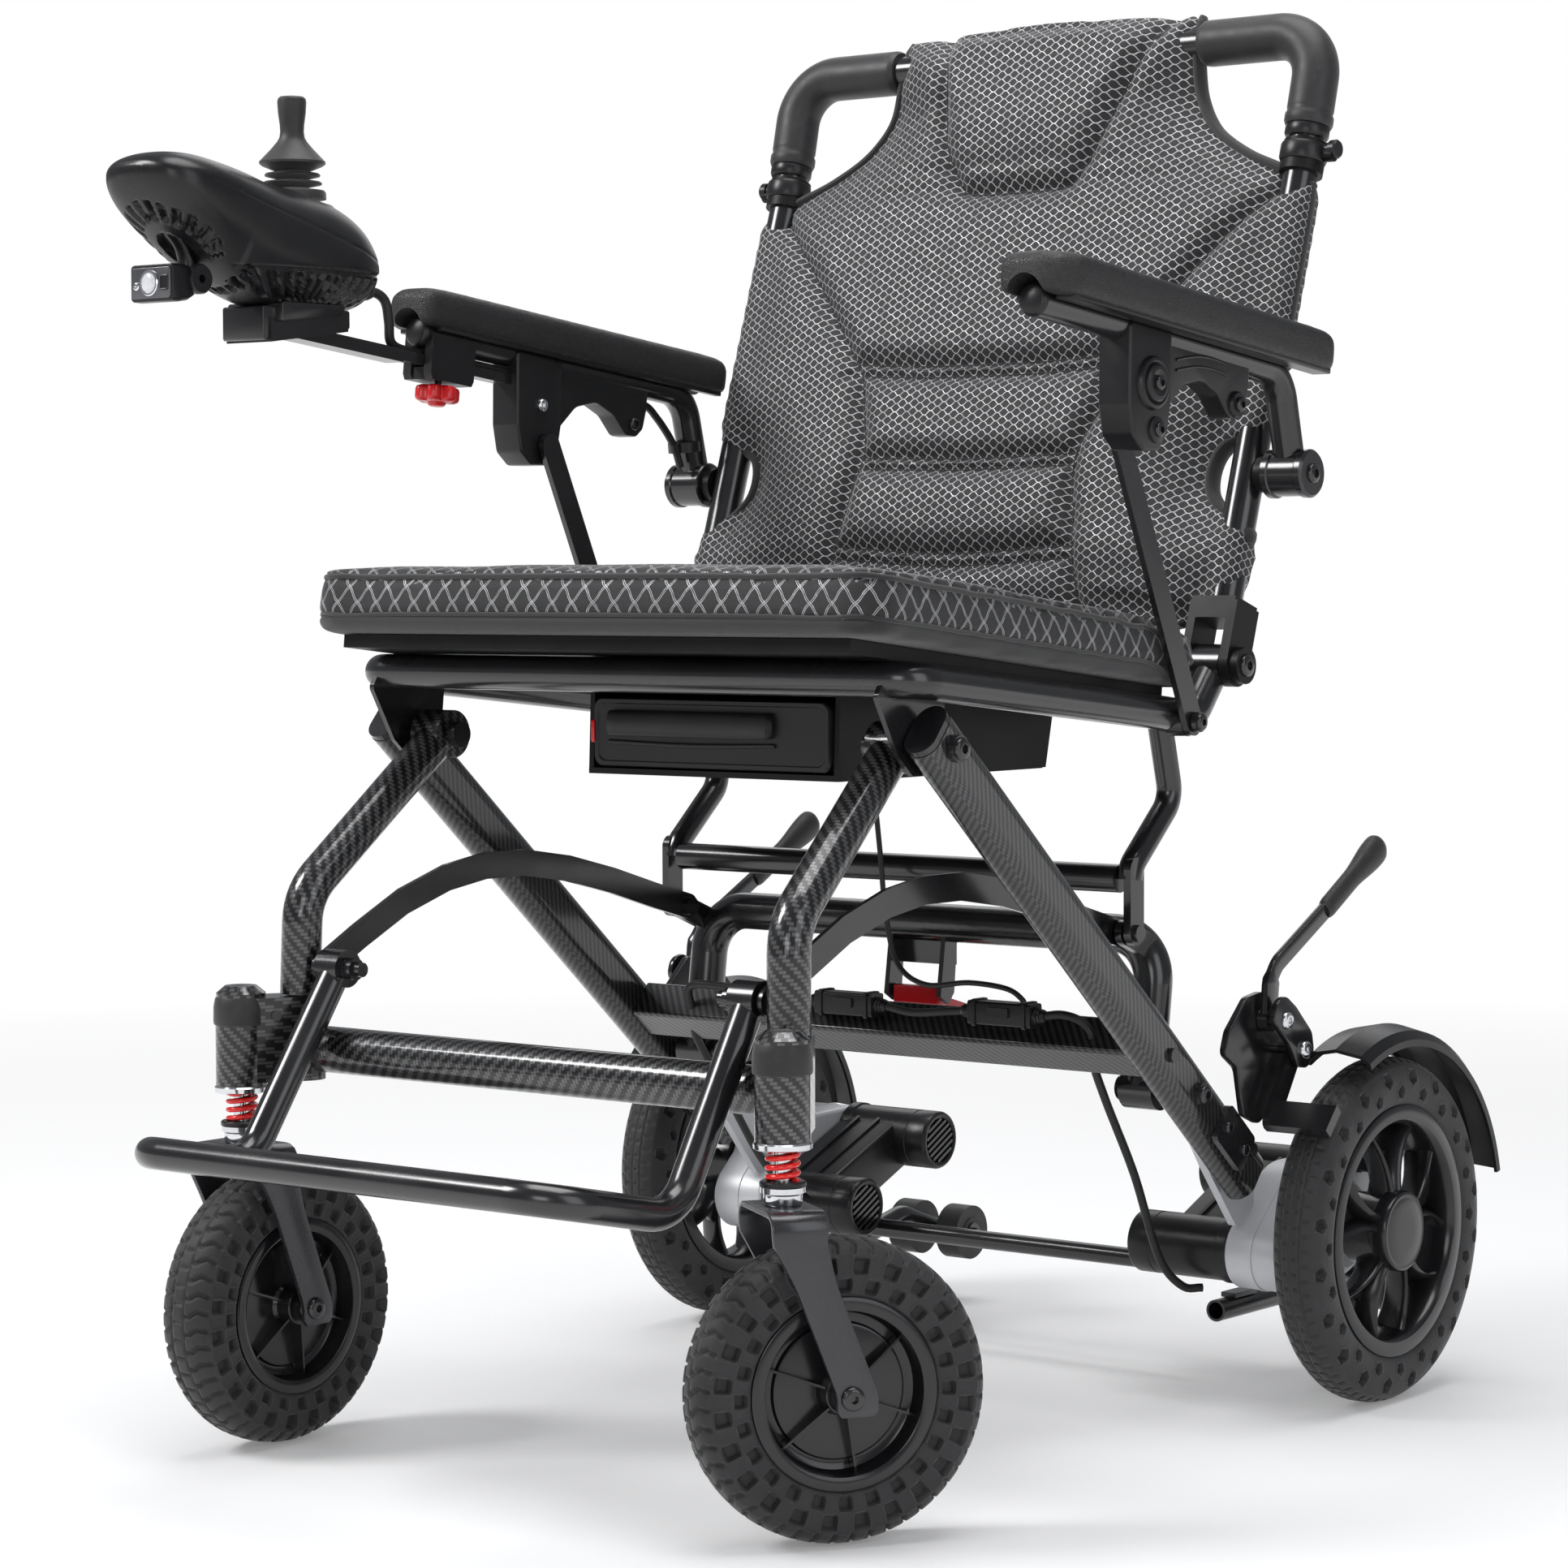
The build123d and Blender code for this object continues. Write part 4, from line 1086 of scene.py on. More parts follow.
# (across, up) points of the single seams, then of the double ones
SINGLE_SEAMS = [
    [(-98, 508), (-82, 470), (-77, 434), (-70, 403), (-52, 372), (-38, 366), (0, 365),
     (38, 366), (52, 372), (70, 403), (82, 434), (98, 470), (116, 508)],
    [(-236, 366), (-205, 336), (-160, 283), (-119, 231), (-111, 218), (-104, 192),
     (-96, 160), (-100, 134), (-104, 108), (-108, 70), (-118, 26)],
    [(236, 366), (205, 336), (160, 283), (119, 231), (113, 218), (113, 192),
     (100, 160), (100, 134), (106, 108), (112, 70), (124, 26)]]
DOUBLE_SEAMS = [
    [(-119, 231), (-50, 227), (50, 227), (119, 231)],
    [(-97, 155), (0, 152), (101, 155)],
    [(-107, 84), (0, 78), (110, 84)]]
SECOND_ROW = -9.5                   # step down to the second line of a double seam
BAR_Y, BAR_Z = 20, 992.0            # crossbar at the top
bar_height = float((np.array([0, BAR_Y, BAR_Z]) - BACK.origin) @ BACK.normal)
BACK_MIDDLE = -0.5                  # middle plane of the pad


def top_lean(up):
    """The upper end moves over to the bar."""
    return smoothstep(428, 476, up) * bar_height


def thin_edges(ob):
    """Thins the pad to its outline, but leaves it full around the side tubes."""
    x, y, z = BACK.local(coords(ob))
    dist, _ = dist_poly(np.column_stack((x, y)), back_outline, closed=True)
    wide = np.abs(x)
    tube = smoothstep(200, 222, wide) * smoothstep(372, 352, y) * smoothstep(24, 44, y)
    roundness = 0.72 + 0.28 * np.sqrt(np.clip(1 - ((wide - 237) / 14.5) ** 2, 0, 1))
    keep = np.maximum(0.30 + 0.70 * smoothstep(0, 26, dist), tube * roundness)
    set_coords(ob, BACK.world(x, y, BACK_MIDDLE + (z - BACK_MIDDLE) * keep))


def seam_depth(points):
    def valley(path, wide_depth, wide, tight_depth, tight):
        """A wide soft valley with a tight stitched line at its bottom."""
        dist, _ = dist_poly(points, path)
        return (wide_depth * np.exp(-(dist / wide) ** 2)
                + tight_depth * np.exp(-(dist / tight) ** 2))
    depth = np.zeros(len(points))
    for seam in SINGLE_SEAMS + DOUBLE_SEAMS:
        depth = np.maximum(depth, valley(catmull(seam, 6), 6.2, 9.0, 3.2, 3.2))
    for seam in DOUBLE_SEAMS:
        lower = catmull(seam, 6) + np.array([0, SECOND_ROW])
        depth = np.maximum(depth, valley(lower, 6.0, 8.0, 2.2, 3.0))
    return depth


def shape_pad(ob):
    x, y, z = BACK.local(coords(ob))
    wide = np.abs(x)
    points = np.column_stack((x, y))
    dist, _ = dist_poly(points, back_outline, closed=True)
    front = smoothstep(-2, 5, z)
    depth = seam_depth(points)
    # crowned panels, the headrest and the rolls low in the middle
    crown = 6.5 * smoothstep(0, 60, dist) * smoothstep(26, 90, y)
    belly = 2.0 * np.cos(np.clip(x / 250, -1, 1) * pi / 2)
    head = 5.0 * smoothstep(8, 60, np.minimum(y - 366, (108 + (y - 366) * 0.12) - wide))
    low = (2.6 * np.maximum(0, np.sin((y - 86) / 66.0 * pi)) * smoothstep(104, 86, wide)
           * (y > 88) * (y < 220))
    z = z + front * (crown + belly + head + low - depth)
    # the rear face is plain and hollows slightly between the tubes
    rear = smoothstep(-2, -8, z)
    z = z + rear * 3.0 * smoothstep(215, 120, wide) * smoothstep(470, 380, y)
    z = z + top_lean(y)
    # fine creases beside the seams
    z = z + (0.275 * np.sin((x * 0.9 + y * 0.35) / 6.5)
             * np.exp(-np.abs(depth - 3.0) / 2.0) * front)
    set_coords(ob, BACK.world(x, y, np.clip(z, -24, 34)))


def back_uv(loops, face_of, normals, centres):
    """Laid flat, but walks around the sides so that the net doesn't stretch there."""
    x, y, z = BACK.local(loops)
    return np.stack([x + np.sign(x) * np.where(np.abs(x) > 238, (14 - z) * 0.9, 0), y], 1)


def back_pad():
    ob = mesh_obj("back_pad_soft", prism(back_outline, BACK(0, 0, -14), X_AXIS, BACK.along,
                                         BACK.normal, 27))
    remesh(ob, 5.0)
    thin_edges(ob)
    relax(ob, 1)

    def pinned(points):
        x, _, z = BACK.local(points)
        return (np.abs(x) > 224) | (z < -9)
    puff(ob, 9, pinned)
    subdivide(ob)
    shape_pad(ob)
    shade(ob, 75)
    ob.data.materials.append(BACK_NET)
    ob.data.materials.append(BACKING)
    set_uv(ob, back_uv)
    normals, centres = face_data(ob)
    x, y, z = BACK.local(centres)
    behind = (normals @ BACK.normal < -0.35) | ((z - top_lean(y) < -7) & (np.abs(x) < 222))
    ob.data.polygons.foreach_set("material_index", behind.astype(np.int32))
    return place(ob, "backrest", "seat_fabric", "back_pad")


pad = back_pad()


def binding(name, points, radius):
    """Tape over the pad's edge, with tapered ends."""
    path = np.array([BACK(x, y, float(BACK_MIDDLE + top_lean(y)))
                     for x, y in resample(catmull(points, 6), 4.0)])
    section = ellipse(1.0, 1.75, 14)
    rings = []
    for i, (point, tangent) in enumerate(zip(path, np.gradient(path, axis=0))):
        side = unit(np.cross(unit(tangent), BACK.normal))
        taper = 0.55 + 0.45 * min(1, min(i, len(path) - 1 - i) / 2.0)
        rings.append([point + (a * side + b * BACK.normal) * radius * taper
                      for a, b in section])
    part(name, loft(rings), BINDING, "backrest", "seat_fabric")


# name, radius, (across, up) points on the left
BINDINGS = (
    ("shoulder", 4.4, [(250, 362), (222, 376), (190, 390), (160, 410), (142, 436), (136, 464),
                       (134, 490), (133, 501)]),
    ("cutout", 4.6, [(249, 90), (246, 99), (228, 110), (211, 128), (209, 150), (219, 166),
                     (243, 172), (249, 180)]),
    ("side", 1.7, [(250.5, 184), (251, 260), (251, 352), (248, 362)]))
for side, sign in SIDES:
    for place_name, radius, points in BINDINGS:
        binding(f"binding_{place_name}_{side}", [(sign * x, y) for x, y in points], radius)


def stitches(name, seam, shift, tree):
    """A row of threads in the bottom of a seam."""
    normal = BACK.normal
    row = resample(catmull(seam, 6), 3.2) + np.array([0, shift])
    row = row[(row[:, 1] > 30) & (row[:, 1] < 470) & (np.abs(row[:, 0]) < 232)]
    spots = []
    for x, y in row:
        hit = tree.ray_cast(to_scene(BACK(x, y, 40)), Vector(-normal))[0]
        spots.append(None if hit is None else from_scene(hit) + normal * 0.15)
    threads = []
    for start, end in zip(spots[:-1], spots[1:]):
        if start is None or end is None:
            continue
        middle = (start + end) / 2
        path = [start + (middle - start) * 0.2 - normal * 0.2, middle + normal * 0.25,
                end + (middle - end) * 0.2 - normal * 0.2]
        threads.append(sweep(path, 0.45, 6, up=normal))
    part(name, join(threads), BINDING, "backrest", "seat_fabric")


pad_tree = surface_tree(pad)
for i, seam in enumerate(SINGLE_SEAMS + DOUBLE_SEAMS):
    for shift in (0,) if seam in SINGLE_SEAMS else (0, SECOND_ROW):
        stitches(f"back_stitch_{i}_{int(-shift)}", seam, shift, pad_tree)


# ------------------------------------------------------------------ carbon wrapped tubes
def carbon_skin(node, body, mat, uv):
    """A copy of a CAD tube with twill on it."""
    ob = bpy.data.objects.new(node + "_skin", frame["nodes"][node].data.copy())
    scene.collection.objects.link(ob)
    set_uv(ob, uv)
    ob.data.materials.clear()
    ob.data.materials.append(mat)
    ob.data.polygons.foreach_set("material_index", np.zeros(len(ob.data.polygons), np.int32))
    place(ob, body, "carbon", node)


rail_dir = unit((0, RAIL_RUN_Y, -RAIL_DROP))
rail_normal = unit((0, RAIL_DROP, RAIL_RUN_Y))
front_legs = [fillet_path([(sign * 200, -451, 488), (sign * 212.5, -578, 381),
                           (sign * 214, -580, 312.7)], 42, 10) for _, sign in SIDES]
foot_bar = [(-197.3, -574, 275), (197.3, -574, 275)]
swivel_heads = [[(sign * CASTER_X, CASTER_Y, 240), (sign * CASTER_X, CASTER_Y, 330)]
                for _, sign in SIDES]
carbon_skin("front_frame", "front_legs", CARBON, multi_uv(front_legs + [foot_bar], 14.0))
carbon_skin("frame_tubes", "main_frame", CARBON_FINE, rail_uv(rail_dir, rail_normal))
carbon_skin("frame_beam", "main_frame", CARBON_FINE, rail_uv(X_AXIS, Z_AXIS))
carbon_skin("caster_heads", "front_legs", CARBON, multi_uv(swivel_heads, 17.6))


# ------------------------------------------------------------------ tyres
def tyre(kind, side, origin, axis, half, relief, segs, step):
    """half: (place along axis, radius) from bead to crown. relief pushes the surface out."""
    half = resample(catmull(half, 10), step)
    profile = np.vstack([half, (half * [-1, 1])[::-1][1:]])
    tangent = np.gradient(profile, axis=0)
    tangent /= np.linalg.norm(tangent, axis=1, keepdims=True)
    along, radius = profile[:, 0:1], profile[:, 1:2]
    axis = unit(axis)
    first, second = cross_axes(axis)
    turn = np.linspace(0, 2 * pi, segs, endpoint=False)[None, :]
    height = relief(along, radius, turn)
    # (-tangent[1], tangent[0]) is the outward normal of the profile
    along = along - tangent[:, 1:2] * height
    radius = radius + tangent[:, 0:1] * height
    rings = (np.array(origin) + along[..., None] * axis + radius[..., None]
             * (np.cos(turn)[..., None] * first + np.sin(turn)[..., None] * second))
    part(f"{kind}_tyre_{side}_tread", loft(rings, closed=True), TYRE, f"{kind}_wheel_{side}",
         "tyre", f"{kind}_tyre_{side}", sharp=60)


def box_distance(x, y, half_x, half_y, corner):
    over_x = np.abs(x) - half_x + corner
    over_y = np.abs(y) - half_y + corner
    return (np.hypot(np.maximum(over_x, 0), np.maximum(over_y, 0))
            + np.minimum(np.maximum(over_x, over_y), 0) - corner)


def pentagon_distance(x, y, size, flip):
    dist = -1e9
    for k in range(5):
        angle = 2 * pi * k / 5 + (pi if flip else 0)
        dist = np.maximum(dist, x * cos(angle) + y * sin(angle))
    return dist - size


def cell_angle(turn, count, shift):
    """Angle from the middle of the nearest of count equal cells."""
    return ((turn * count / (2 * pi) + shift) % 1.0 - 0.5) * 2 * pi / count


def cell_share(turn, count, shift):
    """Distance from the middle of a cell, in cells."""
    return np.abs((turn * count / (2 * pi) + shift) % 1.0 - 0.5)


def ridge(x, middle, width):
    return np.exp(-((x - middle) / width) ** 2)


def front_relief(along, radius, turn):
    wide = np.abs(along)
    side = smoothstep(8, 15, wide)
    # two rows of square pockets in the wall, at these radii
    outer, inner = 79.8, 67.6
    pocket = np.minimum(
        box_distance(radius - outer, cell_angle(turn, 24, 0.0) * outer, 4.9, 4.7, 1.6),
        box_distance(radius - inner, cell_angle(turn, 24, 0.5) * inner, 4.1, 4.1, 1.5))
    height = -4.6 * smoothstep(0.5, -1.1, pocket) + 0.55 * ridge(pocket, 1.1, 0.8)
    height = height * side * (radius < 88)
    # slanted grooves on the shoulders, short cuts and two lines on the crown
    slant = 0.10 * np.sin(wide * 0.5) + (wide - 14) * 0.018 * np.sign(along + 1e-9)
    groove = smoothstep(0.17, 0.08, cell_share(turn, 48, slant))
    zone = smoothstep(85.5, 88.5, radius) * smoothstep(5.0, 7.0, wide)
    height = height - 2.3 * groove * zone * (radius > 84)
    cut = smoothstep(0.12, 0.05, cell_share(turn, 48, 0.5))
    height = height - 1.5 * cut * smoothstep(4.4, 3.2, wide) * (radius > 90)
    height = height - 1.2 * ridge(wide, 5.4, 0.8) * (radius > 90)
    # moulded line on the wall
    return height + 0.6 * ridge(radius, 86.6, 0.7) * side


def rear_relief(along, radius, turn):
    wide = np.abs(along)
    side = smoothstep(9, 15, wide)
    # two rows of five sided pockets in the wall, at these radii
    outer, inner = 111.8, 100.6
    pocket = np.minimum(
        pentagon_distance(radius - outer, cell_angle(turn, 20, 0.0) * outer, 4.6, False),
        pentagon_distance(radius - inner, cell_angle(turn, 20, 0.5) * inner, 3.8, True))
    height = -5.2 * smoothstep(0.4, -1.0, pocket) + 0.4 * ridge(pocket, 1.0, 0.8)
    height = height * side * (radius < 118.5)
    tread = radius > 117
    # bands of cross cuts: from, to, shift in cells
    for start, end, shift in ((1.2, 6.2, 0.0), (7.6, 13.6, 0.5)):
        band = smoothstep(start, start + 1.2, wide) * smoothstep(end, end - 1.2, wide)
        cut = smoothstep(0.16, 0.07, cell_share(turn, 72, shift))
        height = height - 1.3 * cut * band * tread
    height = height - 1.1 * ridge(wide, 6.9, 0.6) * tread - 0.8 * np.exp(-(wide / 0.5) ** 2) * tread
    return height + 0.5 * ridge(radius, 119.2, 0.6) * side


# (place along axis, radius)
FRONT_TYRE = [(-19.2, 60.3), (-21.2, 61.5), (-22.3, 66), (-22.9, 73), (-22.7, 80), (-21.6, 86),
              (-18.5, 90.8), (-13.5, 94), (-7, 95.6), (0, FRONT_RADIUS)]
REAR_TYRE = [(-16.2, 91.2), (-17.4, 92.6), (-18.5, 97), (-18.9, 104), (-18.2, 111.5),
             (-15.8, 118.2), (-11.8, 122.4), (-6, 124.7), (0, REAR_RADIUS)]
FRONT_RIM = [(-19.6, 60.4), (-21.8, 60.2), (-22.4, 59.0), (-22.4, 53.2), (-21.6, 51.8),
             (-13, 50.8), (-8.5, 49.2), (-7.0, 46.5), (-7.0, 43.6), (-9.6, 42.4), (-10, 41),
             (-9.6, 15), (-12, 13.2), (-22.4, 12.6), (-23, 11.8), (-23, 5.1)]
REAR_RIM = [(-16.6, 91.3), (-18.0, 90.8), (-18.6, 89.6), (-18.2, 80.8), (-17.0, 79.4),
            (-12, 77.4), (-3, 76.2)]
REAR_HUB = [(-17.4, 8.2), (-17.4, 24.5), (-16, 26), (6, 26), (9, 27), (9, 8.2)]
REAR_CAP = [(8.8, 27.5), (10.5, 29.3), (19.6, 29.3), (21.6, 28.4), (22.4, 26.6), (22.0, 24.6),
            (22.2, 24.0), (22.4, 12.0), (22.6, 0)]


def swivel_axes(sign):
    """Axes of a caster: the left one is turned about its stem, the right one is straight."""
    turn = radians(-33.7 if sign > 0 else 0.0)
    return Axes((sign * CASTER_X, CASTER_Y, 0), (cos(turn), sin(turn), 0),
                (-sin(turn), cos(turn), 0), Z_AXIS)


def front_rim(side, origin, axis):
    parts = [lathe(mirrored_profile(FRONT_RIM), origin, axis, 96)]
    first, second = cross_axes(axis)
    thick = 1.5
    for face in (1, -1):
        # ribs: (radius, place along axis)
        blade = [(12.5, face * 8.5), (50.9, face * 8.5), (50.9, face * 15.5),
                 (48, face * 16.5), (13, face * 20.5)][::face]
        shift = 0.17 if face > 0 else 0.4
        for k in range(6):
            turn = 2 * pi * (k + shift) / 6
            outward = cos(turn) * first + sin(turn) * second
            tangent = -sin(turn) * first + cos(turn) * second
            parts.append(prism(blade, origin - tangent * thick / 2, outward, axis, tangent,
                               thick))
    part(f"front_rim_{side}_cast", join(parts), GLOSSY, "front_wheel_" + side, "rim_plastic",
         "front_rim_" + side, sharp=32)


def rear_rim(side, origin, axis):
    """Five forked spokes, each with a web between its two arms."""
    rim_inside = 78.2
    first, second = cross_axes(axis)
    parts = [lathe(mirrored_profile(REAR_RIM), origin, axis, 128),
             lathe(REAR_HUB, origin, axis, 64), solid(REAR_CAP, origin, axis, 64)]
    section = [(a * (1 if abs(a) < 11.5 * 0.8 else 0.96), b) for a, b in ellipse(11.5, 3.1, 16)]

    def spread(q):
        return radians(3.0 + 17.5 * q ** 1.5)

    def point(radius, turn, rise):
        return origin + axis * rise + radius * (cos(turn) * first + sin(turn) * second)
    for k in range(5):
        middle = 2 * pi * k / 5
        for arm in (1, -1):
            path, radii = [], []
            for q in np.linspace(0, 1, 12):
                path.append(point(21 + (rim_inside - 21) * q, middle + arm * spread(q),
                                  4.5 - 6.5 * q + 1.5 * sin(q * pi)))
                radii.append(1.0 + 0.25 * abs(2 * q - 1) ** 2)
            up = axis + 0.28 * arm * (cos(middle) * second - sin(middle) * first)
            parts.append(sweep(path, radii, up=up, section=section))
        edge = [(22 + (rim_inside - 22) * q, spread(q)) for q in np.linspace(0, 0.62, 8)]
        outline = edge + [(radius, -turn) for radius, turn in edge[::-1]]
        count = len(outline)
        verts = [point(radius, middle + turn, rise) for rise in (1.0, -3.5)
                 for radius, turn in outline]
        faces = [tuple(range(count)), tuple(range(2 * count - 1, count - 1, -1))]
        faces += [(i, count + i, count + (i + 1) % count, (i + 1) % count)
                  for i in range(count)]
        parts.append((verts, faces))
    part(f"rear_rim_{side}_cast", join(parts), GLOSSY, "rear_wheel_" + side, "rim_plastic",
         "rear_rim_" + side, sharp=34)


# ------------------------------------------------------------------ casters
def coil_spring(side, sign):
    turns, low, high, coil_radius = 3.7, 227.2, 246.0, 9.4
    flat = 0.06                     # share of the coil that lies flat at each end
    path = []
    for q in np.linspace(0, 1, 120):
        z = low + (high - low) * np.clip((q - flat) / (1 - 2 * flat), 0, 1)
        turn = 2 * pi * turns * q + (0 if sign > 0 else 1.0)
        path.append((sign * CASTER_X + coil_radius * cos(turn),
                     CASTER_Y + coil_radius * sin(turn), z))
    ob = part("coil_spring_" + side, sweep(path, 1.75, 12, up=Z_AXIS), SPRING,
              "caster_post_" + side, "red_steel", "caster_spring_" + side)
    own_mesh(ob)


# (height, radius) profiles about the swivel axis
SWIVEL_DOME = [(293.5, 17.7), (293.5, 18.6), (295.5, 19.0), (306, 18.8), (311, 17.8),
               (315.5, 15.4), (318.6, 11.6), (320.3, 6.2), (320.8, 0)]
SWIVEL_RING = [(246.6, 12.2), (246.6, 17.2), (247.4, 18.4), (250.4, 18.6), (251.4, 17.7),
               (251.4, 12.2)]
SPRING_SEAT = [(223.2, 6.2), (223.2, 13.8), (224.2, 14.6), (226.2, 14.6), (227.2, 13.6),
               (227.2, 6.2)]
STEM_COLLAR = [(212.4, 6.2), (212.4, 11.6), (213.2, 12.2), (218.8, 12.2), (219.8, 11.4),
               (219.8, 6.2)]


def swivel_parts(side, sign):
    centre = (sign * CASTER_X, CASTER_Y, 0)
    part("swivel_dome_" + side, solid(SWIVEL_DOME, centre, Z_AXIS, 48), RUBBER,
         "front_legs", "rubber")
    part("swivel_ring_" + side, lathe(SWIVEL_RING, centre, Z_AXIS, 48), CHROME,
         "front_legs", "steel")
    part("spring_seat_" + side, lathe(SPRING_SEAT, centre, Z_AXIS, 48), PLASTIC,
         "caster_post_" + side, "black_plastic")
    part("stem_collar_" + side, lathe(STEM_COLLAR, centre, Z_AXIS, 40), CHROME,
         "caster_post_" + side, "steel")


def caster_fork(side, axes):
    """One bent strip with cheeks that lean back to the axle."""
    path = resample(fillet_path([(-34, 0, 84), (-34, 0, 210), (34, 0, 210), (34, 0, 84)],
                                [0, 9, 9, 0], 8), 4.0)
    half_thick = 2
    rings = []
    for i, point in enumerate(path):
        z = point[2]
        lean = 36.5 * float(np.clip((192.0 - z) / (192.0 - 98.0), 0, 1))
        half = 18 - 4.6 * float(smoothstep(203, 160, z))
        if z < 88:
            half = half - (88 - z) * 0.7
        tangent = unit(path[min(i + 1, len(path) - 1)] - path[max(i - 1, 0)])
        outward = np.array([-tangent[2], 0, tangent[0]])
        corners = ((-half, -half_thick), (half, -half_thick), (half, half_thick),
                   (-half, half_thick))
        rings.append([axes(*(point + outward * rise + np.array([0, lean + y, 0])))
                      for y, rise in corners])
    part("fork_strip_" + side, loft(rings), GUN, "caster_fork_" + side, "black_metal",
         "caster_fork_" + side, bevel=(0.8, 2, 40, 30))


def fork_axle(side, axes):
    hub = axes(0, FRONT_TRAIL, FRONT_RADIUS)
    parts = []
    for out in (1, -1):
        outward = axes.across * out
        parts.append(hexbolt(hub + outward * 36, outward, 7.6, 3.8, 2.6))
        parts.append(lathe([(23.4, 5.2), (23.4, 9.5), (24.4, 10), (31, 10), (32, 9.5),
                            (32, 5.2)], hub, outward, 32))
    parts.append(solid([(-33, 5.0), (33, 5.0)], hub, axes.across, 24))
    part("fork_axle_" + side, join(parts), BLACK, "caster_fork_" + side, "black_metal")


for side, sign in SIDES:
    axes = swivel_axes(sign)
    hub = axes(0, FRONT_TRAIL, FRONT_RADIUS)
    tyre("front", side, hub, axes.across, FRONT_TYRE, front_relief, 576, 1.15)
    front_rim(side, hub, axes.across)
    hub = np.array([sign * REAR_X, 0, REAR_RADIUS])
    tyre("rear", side, hub, sign * X_AXIS, REAR_TYRE, rear_relief, 640, 1.2)
    rear_rim(side, hub, sign * X_AXIS)
    coil_spring(side, sign)
    swivel_parts(side, sign)
    caster_fork(side, axes)
    fork_axle(side, axes)


# ------------------------------------------------------------------ push handles
def grip_radius(run, total):
    """Radius of the foam: a lip, a groove, the plain grip and a rounded inner end."""
    if total - run < 3:
        return 15.4 + (total - run) * 0.6
    if run < 1.6:
        return 16.9 + run * 0.6
    if run < 9:
        return 17.9
    if run < 11.5:
        return 16.5
    return 17.2


def push_handle(side, sign):
    path = fillet_path([(sign * 237.6, 2.96, 923.1), (sign * 239, BAR_Y, BAR_Z),
                        (sign * 140, BAR_Y, BAR_Z)], 34, 14)
    path = resample(path, 2.5)
    run = np.r_[0, np.cumsum(np.linalg.norm(np.diff(path, axis=0), axis=1))]
    radii = [grip_radius(q, run[-1]) for q in run]
    part("foam_grip_" + side, sweep(path, radii, 36), FOAM, "backrest", "foam", "back_foam",
         sharp=50)
    tube_dir = unit(path[0] - np.array([sign * 237, -4, 895.0]))
    part("grip_collar_" + side,
         lathe([(-9, 12.6), (-9, 15.2), (-7, 16.2), (-1.5, 16.2), (0.5, 15.4), (0.5, 12.6)],
               path[0], tube_dir, 36), PLASTIC, "backrest", "black_plastic")
    knob = solid([(0, 5.2), (8, 5.2), (9, 6.8), (13.5, 7.0), (15, 5.8), (15.4, 0)],
                 (sign * 250, 0.5, 905), (sign, 0, 0), 28)
    clamp = lathe([(-6, 12.7), (-6, 16.6), (-4, 17.4), (5, 17.4), (7, 16.6), (7, 12.7)],
                  (sign * 237.1, -2.2, 902.5), tube_dir, 36)
    part("grip_clamp_" + side, join([knob, clamp]), PLASTIC, "backrest", "black_plastic")


for side, sign in SIDES:
    push_handle(side, sign)

# ------------------------------------------------------------------ armrests
ARM_TUBE_X = 272
ARM_PAD_MID = (277.0, 161.0)
# (across, along) points of the left pad, and their corner radii
ARM_PAD = [(250.4, -9), (254, -13.5), (284, -14), (296, -6), (303, 8), (303, 326),
           (298, 334), (290, 336), (260, 336), (252, 333), (250.4, 326)]
ARM_PAD_RADII = [3, 3, 10, 6, 12, 5, 5, 4, 4, 4, 4]
# inset from the outline, height
ARM_PAD_LAYERS = ((3.0, 3.4), (0.6, 5.5), (0, 9), (0, 22), (1.0, 26.5), (3.6, 29.6), (7.5, 31.0))
# (y, z) points
BRACKET_BLOCK = [(-301, 768), (-302, 712), (-298, 692), (-286, 682), (-266, 682), (-256, 694),
                 (-252, 712), (-250, 762)]
BRACKET_WING = [(-262, 765), (-145, 750), (-147, 728), (-152, 712), (-160, 706), (-172, 707),
                (-186, 722), (-206, 731), (-230, 727), (-248, 712), (-262, 694)]
# (y, z) of the round boss, of the lower bolt, of the rear bolt and of the hinge on the back
ARM_BOSS, ARM_LOW, ARM_REAR, ARM_HINGE = (-275, 727), (-271, 696), (-164, 716), (-78, 670)


def boolean_cut(ob, cutters):
    for cutter in cutters:
        mod = ob.modifiers.new("x", "BOOLEAN")
        mod.operation = "DIFFERENCE"
        mod.solver = "EXACT"
        mod.object = cutter
    apply_modifiers(ob)
    for cutter in cutters:
        bpy.data.objects.remove(cutter)


